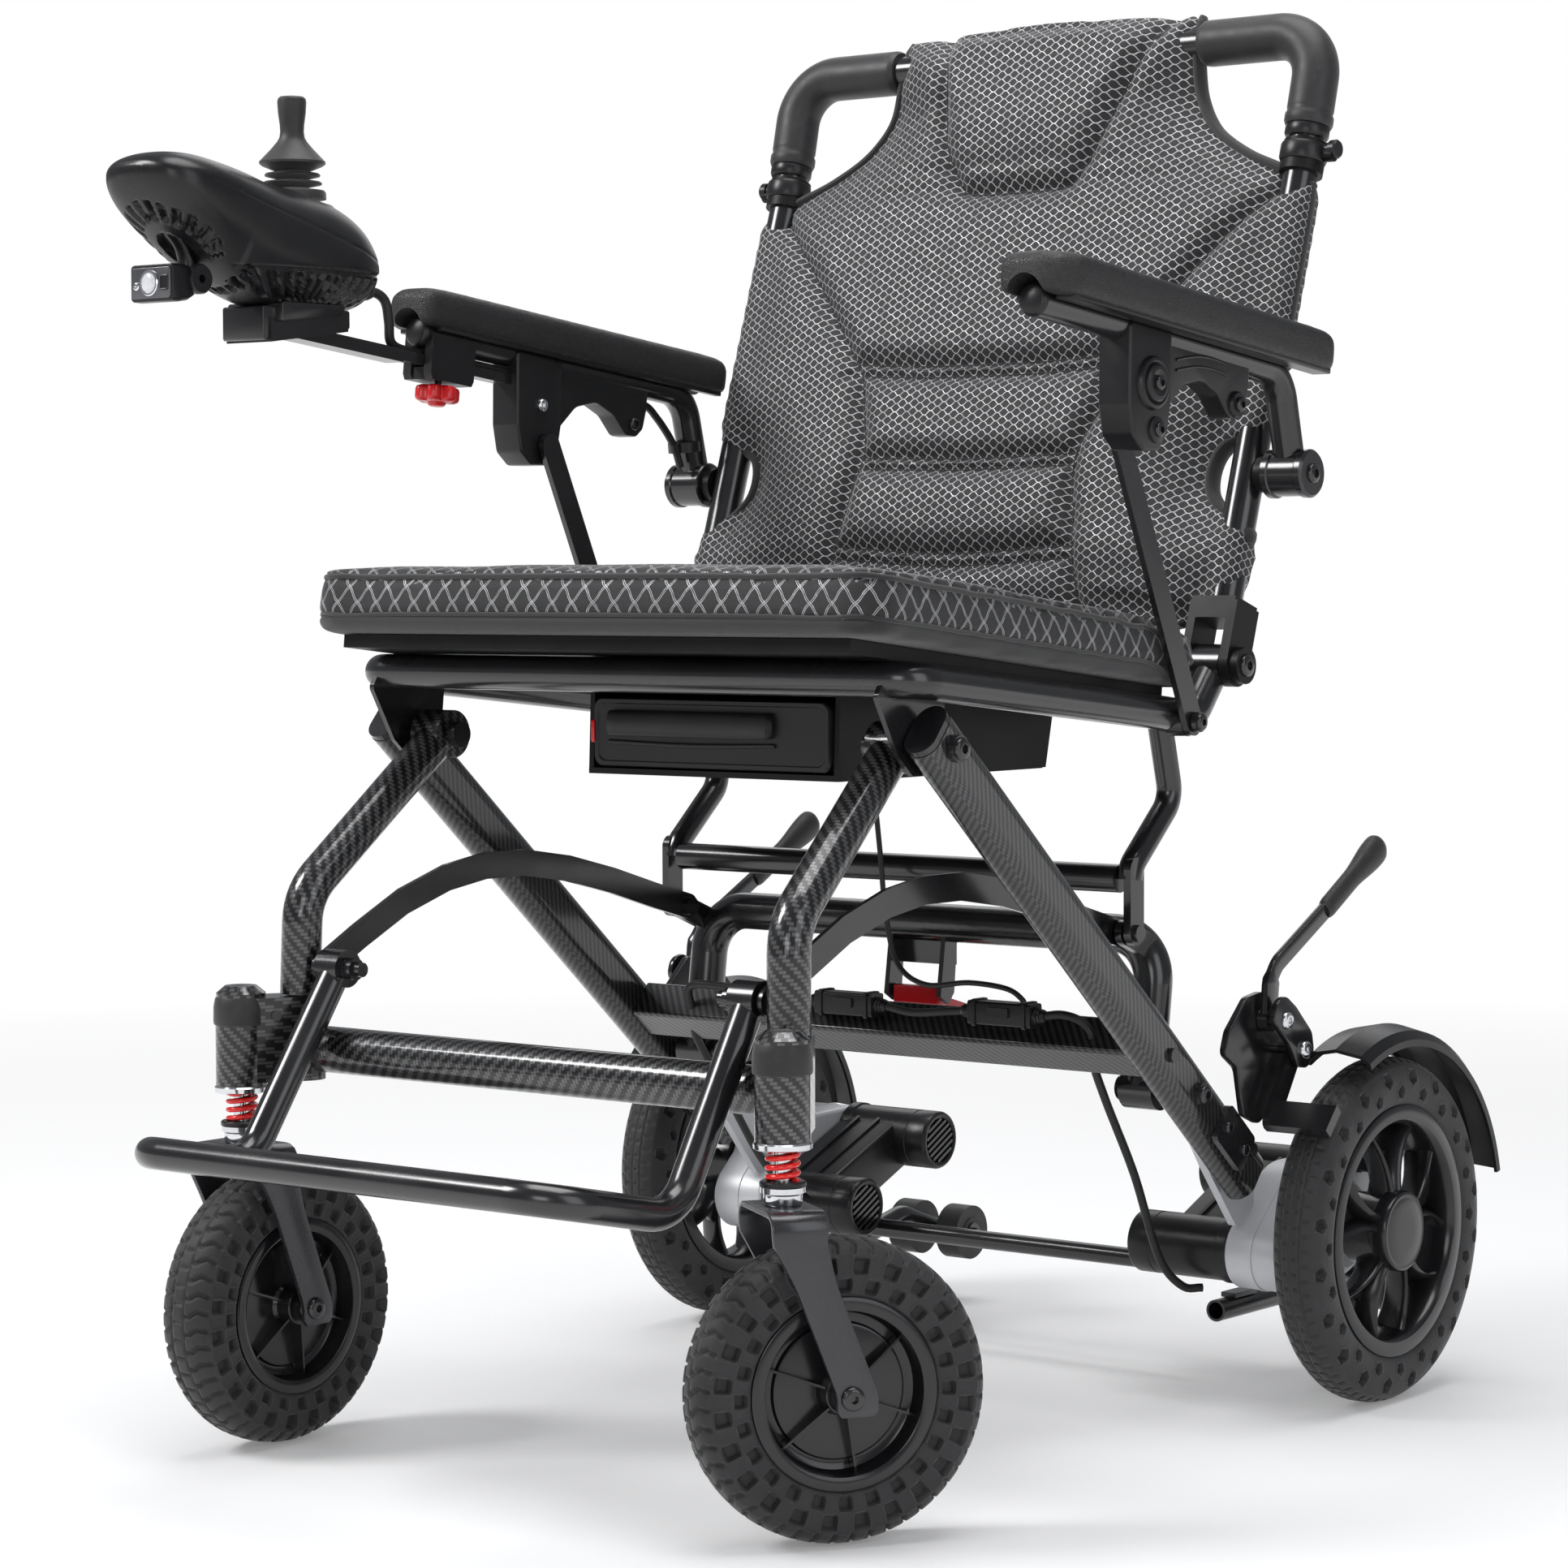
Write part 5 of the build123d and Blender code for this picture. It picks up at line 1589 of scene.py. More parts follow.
def arm_pad(side, sign):
    """A leather pad with a recess underneath for the arm tube."""
    middle = np.array(ARM_PAD_MID)
    outline = [tuple(p) for p in fillet_path(ARM_PAD, ARM_PAD_RADII, 5, closed=True)]

    def shrink(length, inset, limit):
        """Scale that insets by a fixed length, for points beyond the limit."""
        length = abs(length)
        return (length - inset) / max(length, 1e-6) if length > limit else 1
    rings = []
    for inset, height in ARM_PAD_LAYERS:
        ring = []
        for point in outline:
            rel = np.array(point) - middle
            x, y = middle + rel * [shrink(rel[0], inset, 8), shrink(rel[1], inset, 100)]
            ring.append(ARM(sign * x, y, height))
        rings.append(ring)
    ob = mesh_obj(f"arm_pad_{side}_leather", loft(rings, caps_first=True))
    remesh(ob, 2.6)
    relax(ob, 3)
    # soft crown along the top
    x, y, z = ARM.local(coords(ob))
    z += (smoothstep(20, 30, z) * 1.8
          * np.clip(1 - ((np.abs(x) - ARM_PAD_MID[0]) / 26) ** 2, 0, 1)
          * smoothstep(-14, 20, y) * smoothstep(336, 300, y))
    set_coords(ob, ARM.world(x, np.clip(y, -15, 337), z))
    mouth = solid([(-6, 14.0), (36, 14.0)], ARM(sign * ARM_TUBE_X, -20, 1.5), ARM.along, 40)
    bore = solid([(30, 11.4), (380, 11.4)], ARM(sign * ARM_TUBE_X, -20, 0), ARM.along, 40)
    boolean_cut(ob, [mesh_obj("cut1", mouth, smooth=False), mesh_obj("cut2", bore, smooth=False)])
    shade(ob, 40)
    ob.data.materials.clear()
    ob.data.materials.append(LEATHER)
    place(ob, "armrest_" + side, "arm_leather", "arm_pad_" + side)


def arm_plug_and_tray(side, sign):
    plug = solid([(-3.5, 0), (-3.5, 8.5), (-2.2, 10.4), (0.2, 11.2), (1.0, 11.2), (1.0, 0)],
                 ARM(sign * ARM_TUBE_X, 0, 0), ARM.along, 36)
    part("arm_tube_plug_" + side, plug, PLASTIC, "armrest_" + side, "black_plastic")
    # strips on both sides of the tube: inner x, outer x, front end at the outer x
    strips = [prism([(inner, 6), (outer, front), (outer, 329), (inner, 329)],
                    ARM(0, 0, 1.2), X_AXIS * sign, ARM.along, ARM.normal, 4.6)
              for inner, outer, front in ((253.5, 259.6, 6), (284.4, 299.5, 10))]
    part("arm_tray_" + side, join(strips), PLASTIC, "armrest_" + side, "black_plastic",
         bevel=(0.8,))


def arm_plate(x0, x1, points):
    """A plate of (along, height) points in the armrest's axes."""
    return yz_plate(x0, x1, [tuple(ARM(0, y, z)[1:]) for y, z in points])


def arm_bracket(side, sign):
    """Front block, curved wing, bosses and contour ribs; the right one holds the controller."""
    block = yz_plate(sign * 259, sign * 285, BRACKET_BLOCK, [4, 8, 6, 6, 6, 8, 8, 3])
    wing = yz_plate(sign * 263, sign * 281, BRACKET_WING, [2, 3, 6, 6, 6, 8, 14, 16, 16, 10, 2])
    outward = (sign, 0, 0)
    parts = [bevelled_shape(block, 2.2, 3), bevelled_shape(wing, 1.8, 3)]
    parts.append(lathe([(284.6, 18.5), (286.4, 18.2), (288.2, 17.0), (288.8, 15.2),
                        (288.2, 13.8), (287.6, 13.2), (289.8, 12.6), (291.0, 11.2),
                        (291.2, 9.0), (290.4, 7.6), (290.2, 0.0), (284.6, 0.0)],
                       (0, *ARM_BOSS), outward, 56, closed=False))
    for low in (737, 744):
        path = [(sign * 281.1, y, low + 4.5 * sin((y + 240) / 70 * pi) - 0.04 * (y + 240))
                for y in np.linspace(-240, -178, 14)]
        parts.append(sweep(path, 1.1, 8))
    parts.append(lathe([(280.6, 9.4), (282.6, 9.2), (284, 8.2), (284.2, 0), (280.6, 0)],
                       (0, *ARM_REAR), outward, 36, closed=False))
    parts.append(lathe([(284.6, 9.2), (286.6, 8.8), (287.4, 7.6), (287.4, 0), (284.6, 0)],
                       (0, *ARM_LOW), outward, 36, closed=False))
    if side == "right":
        cheek = [(4, -34), (46, -34), (48, -30), (48, -2), (2, -2), (2, -30)]
        parts.append(arm_plate(-286, -278.5, cheek))
        parts.append(arm_plate(-265.5, -258, cheek))
        for low, high in ((-34, -25), (-16, -11.5)):
            parts.append(arm_plate(-280, -264, [(4, low), (46, low), (46, high), (4, high)]))
    part(f"arm_bracket_{side}_cast", join(parts), PLASTIC, "armrest_" + side, "black_plastic",
         "arm_bracket_" + side, sharp=34)


def arm_fasteners(side, sign):
    body = "armrest_" + side
    outward, inward = (sign, 0, 0), (-sign, 0, 0)
    bolts("arm_bolts_" + side, body, [
        ((sign * 287.2, *ARM_LOW), outward, 5.2, 3.2, 2.2),
        ((sign * 284, *ARM_REAR), outward, 5.2, 3.2, 2.2),
        ((sign * 262.8, *ARM_REAR), inward, 5.2, 3.2, 2.2),
        ((sign * 291.0, *ARM_HINGE), outward, 7.0, 3.0, 3.0)], BLACK, "black_metal")
    screws = [((sign * 258.8, *ARM_BOSS), inward, 5.0, 3.2, 2.2)]
    if side == "left":
        screws.append(((sign * 290.2, *ARM_BOSS), outward, 5.0, 3.0, 2.2))
    bolts("arm_pivot_screw_" + side, body, screws, CHROME if side == "right" else BLACK, "steel")
    inner = [(256.6, 8.2), (256.6, 16.4), (257.6, 17.4), (262, 17.4), (263, 16.4), (263, 8.2)]
    outer = [(284, 8.2), (284, 16.4), (285, 17.2), (289.4, 17.2), (291.2, 15.4), (291.2, 8.2)]
    part("arm_hinge_rings_" + side,
         join([lathe(ring, (0, *ARM_HINGE), outward, 40) for ring in (inner, outer)]),
         BLACK, body, "black_metal")


for side, sign in SIDES:
    arm_pad(side, sign)
    arm_plug_and_tray(side, sign)
    arm_bracket(side, sign)
    arm_fasteners(side, sign)

# ------------------------------------------------------------------ bolts on the frame
BRAKE_PINS = ((-92, 283), (-67, 260))       # (y, z)


def bolt_pair(x, y, z, size, out=1):
    """A bolt on each side; size is (radius, height, socket), out is -1 for inward heads."""
    return [((sign * x, y, z), (sign * out, 0, 0), *size) for _, sign in SIDES]


bolts("frame_bolts", "main_frame", bolt_pair(253.8, -451, 488, (7.5, 3.4, 3.0))
      + bolt_pair(252.8, -158, 235, (6.5, 3.2, 2.6)), BLACK, "black_metal")
bolts("seat_link_bolts", "seat", bolt_pair(261.8, -178, 497, (6.0, 3.0, 2.4)),
      BLACK, "black_metal")
bolts("back_hinge_bolts", "backrest", bolt_pair(263.8, -122, 535, (8.0, 3.2, 3.2)),
      BLACK, "black_metal")
bolts("brake_bolts", "main_frame",
      [((sign * 279.6, y, z), (sign, 0, 0), 6.4, 3.0, 2.5)
       for _, sign in SIDES for y, z in BRAKE_PINS], CHROME, "steel")
bolts("footrest_bolts", "footrest", bolt_pair(170.8, -577, 332, (7.5, 3.0, 2.6), out=-1),
      BLACK, "black_metal")

# ------------------------------------------------------------------ controller
# y, half width, top, bottom, height of the widest line
SHELL_STATIONS = np.array([
    (-675.5, 9, 877, 869, 873), (-672.5, 24, 881, 862, 872), (-666, 34, 884.5, 852, 870.5),
    (-654, 41, 887, 839, 868), (-636, 44, 887, 824, 863), (-614, 45, 884, 808, 856),
    (-592, 45, 880, 796, 846), (-568, 45, 874, 788, 836), (-540, 45, 869.5, 784, 828),
    (-512, 43.5, 865, 783.5, 822), (-488, 39, 857, 785, 818), (-470, 31, 846.5, 790, 815),
    (-459, 20, 835, 798, 814), (-453.5, 8, 824, 807, 815)])
SHELL_RINGS, SHELL_SEGS = 150, 200
STICK_Y = -522
LAMP_Y, LAMP_Z = -658.0, 798.5


def shell_surface():
    """Plain surface of the controller as rings of points."""
    first, last = SHELL_STATIONS[0, 0], SHELL_STATIONS[-1, 0]
    even = np.linspace(0, 1, SHELL_RINGS)
    # denser at the two ends
    place_y = (first + (last - first) * (0.5 - 0.5 * np.cos(pi * even)) * 0.65
               + (last - first) * even * 0.35)

    def smooth_column(column):
        curve = catmull(SHELL_STATIONS[:, [0, column]], 16)
        order = np.argsort(curve[:, 0])
        return np.interp(place_y, curve[order, 0], curve[order, 1])[:, None]
    half, top, bottom, middle = (smooth_column(column) for column in (1, 2, 3, 4))
    turn = np.linspace(0, 2 * pi, SHELL_SEGS, endpoint=False)
    cosine, sine = np.cos(turn), np.sin(turn)
    x = half * np.sign(cosine) * np.abs(cosine) ** 0.86
    z = np.where(sine >= 0, middle + (top - middle) * np.abs(sine) ** 0.92,
                 middle - (middle - bottom) * np.abs(sine) ** 0.80)
    # the bowl narrows towards its foot
    narrow = smoothstep(0.1, 1.0, -sine) * smoothstep(-640, -590, place_y[:, None])
    x = x * (1 - 0.16 * narrow)
    return np.stack([CONTROL_X + x, np.broadcast_to(place_y[:, None], x.shape), z], 2)


def shell_relief(x, y, z, rise):
    """Height of the surface details; x is from the controller's middle, rise the normal's z."""
    def slot(share, mid=0.22):
        """1 in the middle of each unit, 0 between."""
        return smoothstep(0.30, mid, np.abs(share % 1.0 - 0.5))
    # parting line round the bowl with a band above it, and a raked line across the flank
    relief = -1.0 * ridge(z, 812, 0.9) * (y > -606)
    relief += 1.2 * smoothstep(812.5, 814.5, z) * smoothstep(836, 816, z) * (y > -602)
    rake = 868 - (y + 640) * 0.27
    relief -= 0.7 * ridge(z, rake, 0.7) * (y > -640) * (np.abs(x) > 20)
    # upright slots round the bowl
    around = np.arctan2(x, y + 530) * 43
    relief -= (4.2 * slot(around / 8.6) * smoothstep(789.5, 791.5, z)
               * smoothstep(810, 808, z) * (np.abs(rise) < 0.86) * (y > -600))
    # fan of vents and a round recess under the nose, and a row of short slots behind them
    under = rise < -0.15
    nose = np.hypot(x * 0.95, y + 634)
    bearing = np.arctan2(x, -(y + 634))
    relief -= (4.0 * slot(bearing / radians(19.0), 0.20) * smoothstep(21, 22.5, nose)
               * smoothstep(33.5, 32, nose) * under * (np.abs(bearing) < 2.1))
    relief -= 5.0 * smoothstep(12.5, 11.0, nose) * under
    relief -= (3.5 * slot(x / 7.2) * smoothstep(-598, -596, y) * smoothstep(-588, -590, y)
               * under * (np.abs(x) < 33) * (rise < -0.4))
    # shallow dish and rim around the joystick, and the power key's pocket
    upper = rise > 0.4
    from_stick = np.hypot(x, y - STICK_Y)
    relief -= 2.2 * smoothstep(25.5, 24.0, from_stick) * upper
    relief += 0.8 * ridge(from_stick, 26.8, 1.5) * upper
    relief -= 2.0 * smoothstep(9.6, 8.6, np.hypot(x, y + 620)) * upper
    return relief


def controller_shell():
    surface = shell_surface()
    around = (np.roll(surface, -1, 1) - np.roll(surface, 1, 1)) / 2
    normals = np.cross(np.gradient(surface, axis=0), around)
    normals /= np.maximum(np.linalg.norm(normals, axis=2, keepdims=True), 1e-9)
    relief = shell_relief(surface[..., 0] - CONTROL_X, surface[..., 1], surface[..., 2],
                          normals[..., 2])
    surface = surface + normals * relief[..., None]
    surface[..., 1] = np.clip(surface[..., 1], -676, -452)
    part("controller_dome", loft(surface), PLASTIC, "controller", "black_plastic",
         "controller_shell", sharp=50)


def power_key():
    profile = [(-3, 7.6), (-1.0, 8.4), (1.2, 8.2), (2.4, 7.2), (2.8, 5.0), (2.3, 3.4), (2.2, 0)]
    part("power_key", solid(profile, (CONTROL_X, -619.7, 883.4), (0, -0.12, 1), 36), GLOSSY,
         "power_button", "black_plastic", "power_button")


def controller_foot():
    plates = [
        yz_plate(CONTROL_X - 20, CONTROL_X + 20,
                 [(-572, 763), (-486, 774), (-486, 787), (-572, 787)], 2),
        yz_plate(CONTROL_X - 27, CONTROL_X + 27,
                 [(-560, 776), (-498, 783), (-498, 790), (-560, 790)], 2)]
    part("controller_foot", join(plates), BLACK, "controller", "black_metal", bevel=(1.0,))


def lamp_neck():
    hinge = (CONTROL_X, -629, 802)
    neck = catmull([(CONTROL_X, -629, 800), (CONTROL_X, -624, 812), (CONTROL_X, -628, 826),
                    (CONTROL_X, -640, 838)], 6)
    parts = [sweep(neck, 6.5, 20),
             solid([(-14, 7.5), (-13, 8.5), (13, 8.5), (14, 7.5)], hinge, X_AXIS, 32)]
    cheek = [(20, 3), (20, 9.4), (18.5, 10.4), (14.5, 10.4), (14, 9.4), (14, 3)]
    for out in (-1, 1):
        parts.append(lathe([(out * a, radius) for a, radius in cheek], hinge, X_AXIS, 32))
    part("lamp_neck", join(parts), PLASTIC, "controller", "black_plastic", sharp=35)


# y, half width, top, bottom: the hood tapers back from a flat front
HOOD_STATIONS = ((-657, 20.5, 811, 786), (-650, 20.3, 811.5, 785.6), (-640, 18, 811, 787),
                 (-630, 13.5, 809, 790.5), (-623, 9.5, 806, 794))


def headlamp():
    rings = [[(CONTROL_X + x, y, z)
              for x, z in rounded_rect(-half, half, bottom, top, 3.0, 4)]
             for y, half, top, bottom in HOOD_STATIONS]
    part("lamp_hood", loft(rings, caps_first=True), PLASTIC, "controller", "black_plastic",
         "headlamp", bevel=(0.7, 2, 50))
    face = prism(rounded_rect(-18.8, 18.8, 788, 809, 2.2, 4), (CONTROL_X, LAMP_Y - 0.2, 0),
                 X_AXIS, Z_AXIS, (0, 1, 0), 1.6)
    plate = satin("lamp_plate", (0.13, 0.13, 0.14), rough=(0.25, 0.4), grain=1800, metallic=0.8)
    part("lamp_face", face, plate, "controller", "black_plastic", bevel=(0.5, 2, 50))
    centre, forward = (CONTROL_X - 1, LAMP_Y, LAMP_Z), (0, -1, 0)
    part("lamp_lens_glass",
         solid([(0, 7.4), (0.9, 7.2), (2.0, 5.9), (2.8, 3.8), (3.1, 0)], centre, forward, 40),
         LENS, "controller", "lamp")
    bezel = lathe([(0, 7.2), (0, 8.9), (1.0, 8.9), (1.6, 8.2), (1.6, 7.2)], centre, forward, 40)
    screw = hexbolt((CONTROL_X - 13.2, LAMP_Y - 0.1, 796.5), forward, 2.9, 1.6, 1.1)
    part("lamp_bezel", join([bezel, screw]), CHROME, "controller", "steel")
    switch_x = CONTROL_X + 13.5
    outline = rounded_rect(-3.2, 3.2, -4.6, 4.6, 0.8, 3)
    frame_path = [(switch_x + x, LAMP_Y - 0.4, LAMP_Z + z) for x, z in outline]
    switch = prism(outline, (switch_x, LAMP_Y - 0.5, LAMP_Z), X_AXIS, Z_AXIS, (0, 1, 0), 0.5)
    part("lamp_switch", join([sweep(frame_path, 0.7, 8, closed=True), switch]), PLASTIC,
         "controller", "black_plastic")


# (height, radius) profiles about the joystick
STICK_GRIP = [(882.6, 9.5), (884.5, 15.0), (887.0, 21.0), (888.6, 23.2), (890.2, 23.2),
              (892.5, 21.0), (899.0, 14.8), (904.0, 10.6), (907.0, 8.9), (911, 8.3), (916, 8.6),
              (924, 9.7), (931.5, 10.2), (934.0, 9.8), (935.4, 8.4), (935.8, 5.5), (935.2, 3.0),
              (935.0, 0.0)]
UPPER_BELLOWS = [(877.6, 7), (878.4, 13), (879.9, 19.2), (880.9, 19.6), (882.0, 18.6),
                 (883.2, 12.5), (883.6, 7)]
LOWER_BELLOWS = [(872.0, 7), (872.6, 13), (874.2, 20.4), (875.2, 20.8), (876.3, 19.6),
                 (877.4, 12.5), (877.8, 7)]
BELLOWS_FOOT = [(864, 8), (864, 23.6), (868.5, 23.4), (870.0, 22.4), (871.2, 14.0), (872.2, 8)]


def joystick():
    centre = (CONTROL_X, STICK_Y, 0)
    grip = lathe(STICK_GRIP, centre, Z_AXIS, 64, closed=False)
    stem = solid([(869.5, 2.8), (870.5, 3.5), (884, 3.6)], centre, Z_AXIS, 24)
    underside = lathe([(882.6, 9.5), (882.6, 3.4)], centre, Z_AXIS, 64, closed=False)
    part("joystick_grip", join([grip, stem, underside]), RUBBER, "joystick", "rubber",
         "joystick", sharp=35)
    part("joystick_bellows_upper", lathe(UPPER_BELLOWS, centre, Z_AXIS, 56), RUBBER,
         "joystick_gimbal", "rubber", "joystick_gimbal")
    part("joystick_bellows_lower",
         join([lathe(p, centre, Z_AXIS, 56) for p in (LOWER_BELLOWS, BELLOWS_FOOT)]), RUBBER,
         "controller", "rubber")


def star_knob():
    """Red six lobed knob under the right armrest, and its threaded stud."""
    centre = ARM(CONTROL_X, 25, -48)
    turns = [2 * pi * k / 96 for k in range(96)]
    # scale of the star, height
    layers = ((0.82, 0.0), (0.96, 1.2), (1.0, 3.0), (1.0, 9.0), (0.95, 11.0), (0.78, 12.0))
    rings = [[centre + ARM.normal * rise + scale * (14.6 + 2.6 * cos(6 * t) - 0.7 * cos(12 * t))
              * (cos(t) * X_AXIS + sin(t) * ARM.along) for t in turns]
             for scale, rise in layers]
    boss = solid([(-3.0, 0), (-3.0, 5.0), (-2.0, 6.4), (0.4, 7.0), (0.4, 0)],
                 centre, ARM.normal, 32)
    part("star_knob", join([loft(rings, caps_first=True), boss]), RED, "slide_knob",
         "red_plastic", "slide_knob", sharp=45)
    thread_pitch = 0.75
    profile = [(11.5, 2.4)]
    for k in range(15):
        profile += [(11.8 + k * thread_pitch, 2.45), (12.15 + k * thread_pitch, 3.0)]
    profile += [(22.9, 3.0), (23.0, 2.8)]
    part("knob_stud", solid(profile, centre, ARM.normal, 24), CHROME, "armrest_right", "steel")


controller_shell()
power_key()
controller_foot()
lamp_neck()
headlamp()
joystick()
star_knob()

# ------------------------------------------------------------------ parking brakes
BRAKE_X = 264.5
# (y, z) points of the inner and the outer plate, and their corner radii
INNER_PLATE = [(-112, 300), (-90, 303), (-72, 290), (-54, 272), (-50, 246), (-64, 226),
               (-96, 208), (-116, 216), (-124, 250), (-142, 262), (-136, 278)]
INNER_RADII = [10, 16, 12, 12, 10, 10, 8, 8, 10, 6, 8]
OUTER_PLATE = [(-108, 284), (-104, 297), (-92, 301), (-78, 292), (-56, 272), (-53, 258),
               (-62, 246), (-74, 248), (-88, 266)]
OUTER_RADII = [8, 10, 10, 12, 10, 8, 8, 8, 10]


def brake_lever(side, sign):
    pivot = BRAKE_PINS[0]
    points = [(sign * BRAKE_X, y, z) for y, z in (pivot, (-89, 312), (-80, 322), (-12, 357))]
    path = resample(fillet_path(points, [0, 18, 18, 0], 8), 4)
    section = [(2.3, 6.2), (-2.3, 6.2), (-2.3, -6.2), (2.3, -6.2)]
    radii = [1.25 if i < 8 else 1.0 for i in range(len(path))]
    bar = bevelled_shape(sweep(path, radii, up=X_AXIS, section=section), 0.7)
    boss = solid([(260, 8.6), (268, 8.6)], (0, *pivot), (sign, 0, 0), 32)
    part("brake_bar_" + side, join([bar, boss]), BLACK, "brake_lever_" + side, "black_metal",
         "brake_lever_" + side, sharp=32)


def brake_grip(side, sign):
    direction = unit(np.array([0, 0.874, 0.486]))
    start = np.array([sign * BRAKE_X, -14, 356.0]) - direction * 2
    path, radii = [], []
    for q in np.linspace(0, 1, 30):
        path.append(start + direction * 92 * q)
        radius = 7.4 + 0.8 * smoothstep(0, 0.08, q) + 3.6 * smoothstep(0.45, 0.86, q)
        if q > 0.9:
            radius *= sqrt(max(0.02, 1 - ((q - 0.9) / 0.105) ** 2))
        if q < 0.03:
            radius *= 0.85
        radii.append(float(radius))
    part("brake_grip_" + side, sweep(path, radii, up=X_AXIS, section=ellipse(0.72, 1.0, 28)),
         RUBBER, "brake_lever_" + side, "rubber", sharp=50)


def brake_plates(side, sign):
    """A double plate on two pins, with a foot bolted to the sloping rail."""
    inner = bevelled_shape(yz_plate(sign * 254, sign * 259.4, INNER_PLATE, INNER_RADII, 6), 1.0)
    outer = bevelled_shape(yz_plate(sign * 274.4, sign * 279.4, OUTER_PLATE, OUTER_RADII, 6), 1.2)
    pins = [solid([(254, 4), (279, 4)], (0, *pin), (sign, 0, 0), 24) for pin in BRAKE_PINS]
    down_rail = 0.90                # the foot's place as a share of the rail
    y = RAIL_TOP_Y + RAIL_RUN_Y * down_rail
    z = RAIL_TOP_Z - RAIL_DROP * down_rail
    foot_x, foot_thick = 249.6, 4.8
    low_x = foot_x if sign > 0 else -foot_x - foot_thick
    foot = prism(rounded_rect(-22, 22, -15, 15, 4, 4), (low_x, y, z), rail_dir, rail_normal,
                 X_AXIS, foot_thick)
    part("brake_plates_" + side, join([inner, outer, foot] + pins), BLACK, "main_frame",
         "black_metal", "brake_brackets", sharp=32)
    bolts("brake_foot_bolts_" + side, "main_frame",
          [(np.array([sign * 254.3, y, z]) + rail_dir * shift, (sign, 0, 0), 4.4, 2.8, 1.9)
           for shift in (-14, 14)], BLACK, "black_metal")


for side, sign in SIDES:
    brake_lever(side, sign)
    brake_grip(side, sign)
    brake_plates(side, sign)


# ------------------------------------------------------------------ battery drawer
def battery_drawer():
    front = -441
    centre = np.array([42.5, 492.5])
    box = prism(rounded_rect(-59.8, 144.8, 469.2, 515.8, 6, 5), (0, front, 0), X_AXIS, Z_AXIS,
                (0, 1, 0), 226.5)
    outline = rounded_rect(-60, 145, 469, 516, 7, 6)

    def bezel_ring(inset, y):
        rel = outline - centre
        rel = np.sign(rel) * (np.abs(rel) - inset)
        return [(centre[0] + a, y, centre[1] + b) for a, b in rel]
    # front bezel with a recess inside: inset, y
    bezel = loft([bezel_ring(inset, y) for inset, y in
                  ((0, front), (0, -446.5), (1.0, -448), (3.4, -448), (4.2, -447))])
    # long rounded handle that stands off the front, and a lip below it
    handle = fillet_path([(-43, -447, 499), (-43, -452.5, 499), (96, -452.5, 499),
                          (96, -447, 499)], [0, 5, 5, 0], 6)
    lip = catmull([(-46, -447.5, 486), (26, -448.5, 484.5), (99, -447.5, 486)], 8)
    parts = [bevelled_shape(box, 1.5, 3, 50), bezel,
             sweep(resample(handle, 3), 1.0, up=Z_AXIS, section=ellipse(8.6, 3.0, 20)),
             sweep(lip, 1.0, up=Z_AXIS, section=ellipse(1.6, 1.6, 12))]
    part("battery_drawer", join(parts), CASE, "battery", "battery_case", "battery_pack",
         sharp=34)
    latch = yz_plate(-58.6, -61.4, [(-449, 485), (-430, 485), (-430, 501), (-449, 501)], 2)
    part("battery_latch", latch, RED, "battery", "red_plastic")


battery_drawer()


# ------------------------------------------------------------------ cables
def cable_shape(points, radius):
    return sweep(resample(catmull(points, 8), 3.0), radius, 14)


def loose_cable(name, points, radius):
    """A cable between two bodies, tied to neither; the points are in millimetres."""
    ob = mesh_obj(name, cable_shape(points, radius), CABLE, sharp=60)
    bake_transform(ob)


def controller_cables():
    points = [(CONTROL_X + x, y, z) for x, y, z in (
        (4, -466, 801), (6, -449, 803), (8, -438, 797), (8, -434, 782), (4, -428, 768),
        (0, -410, 763), (0, -380, 761))]
    loose_cable("controller_cable", points, 3.6)
    gland = lathe([(-6, 3.4), (-6, 6.2), (-4, 6.8), (4, 6.2), (8, 5.0), (8, 3.4)],
                  (CONTROL_X + 5, -458, 802.5), (0, 1, 0.05), 24)
    part("controller_cable_gland", gland, RUBBER, "controller", "rubber")
    points = [ARM(CONTROL_X, 40, -14.2), ARM(CONTROL_X + 1, 90, -14.4),
              ARM(CONTROL_X + 2, 200, -15), ARM(CONTROL_X + 2, 252, -15.5),
              (CONTROL_X + 2, -128, 722), (CONTROL_X + 2, -108, 702), (CONTROL_X + 3, -100, 684)]
    part("arm_cable", cable_shape(points, 3.0), CABLE, "armrest_right", "rubber", sharp=60)
    clips = [lathe([(-4, 11.2), (-4, 12.8), (4, 12.8), (4, 11.2)],
                   (CONTROL_X, -91.5, 700), (0, 0.12, -1), 28),
             lathe([(-3.5, 3.1), (-3.5, 4.4), (3.5, 4.4), (3.5, 3.1)],
                   (CONTROL_X + 2.6, -106, 699), (0, 0.35, -1), 20)]
    part("cable_clips", join(clips), PLASTIC, "armrest_right", "black_plastic")


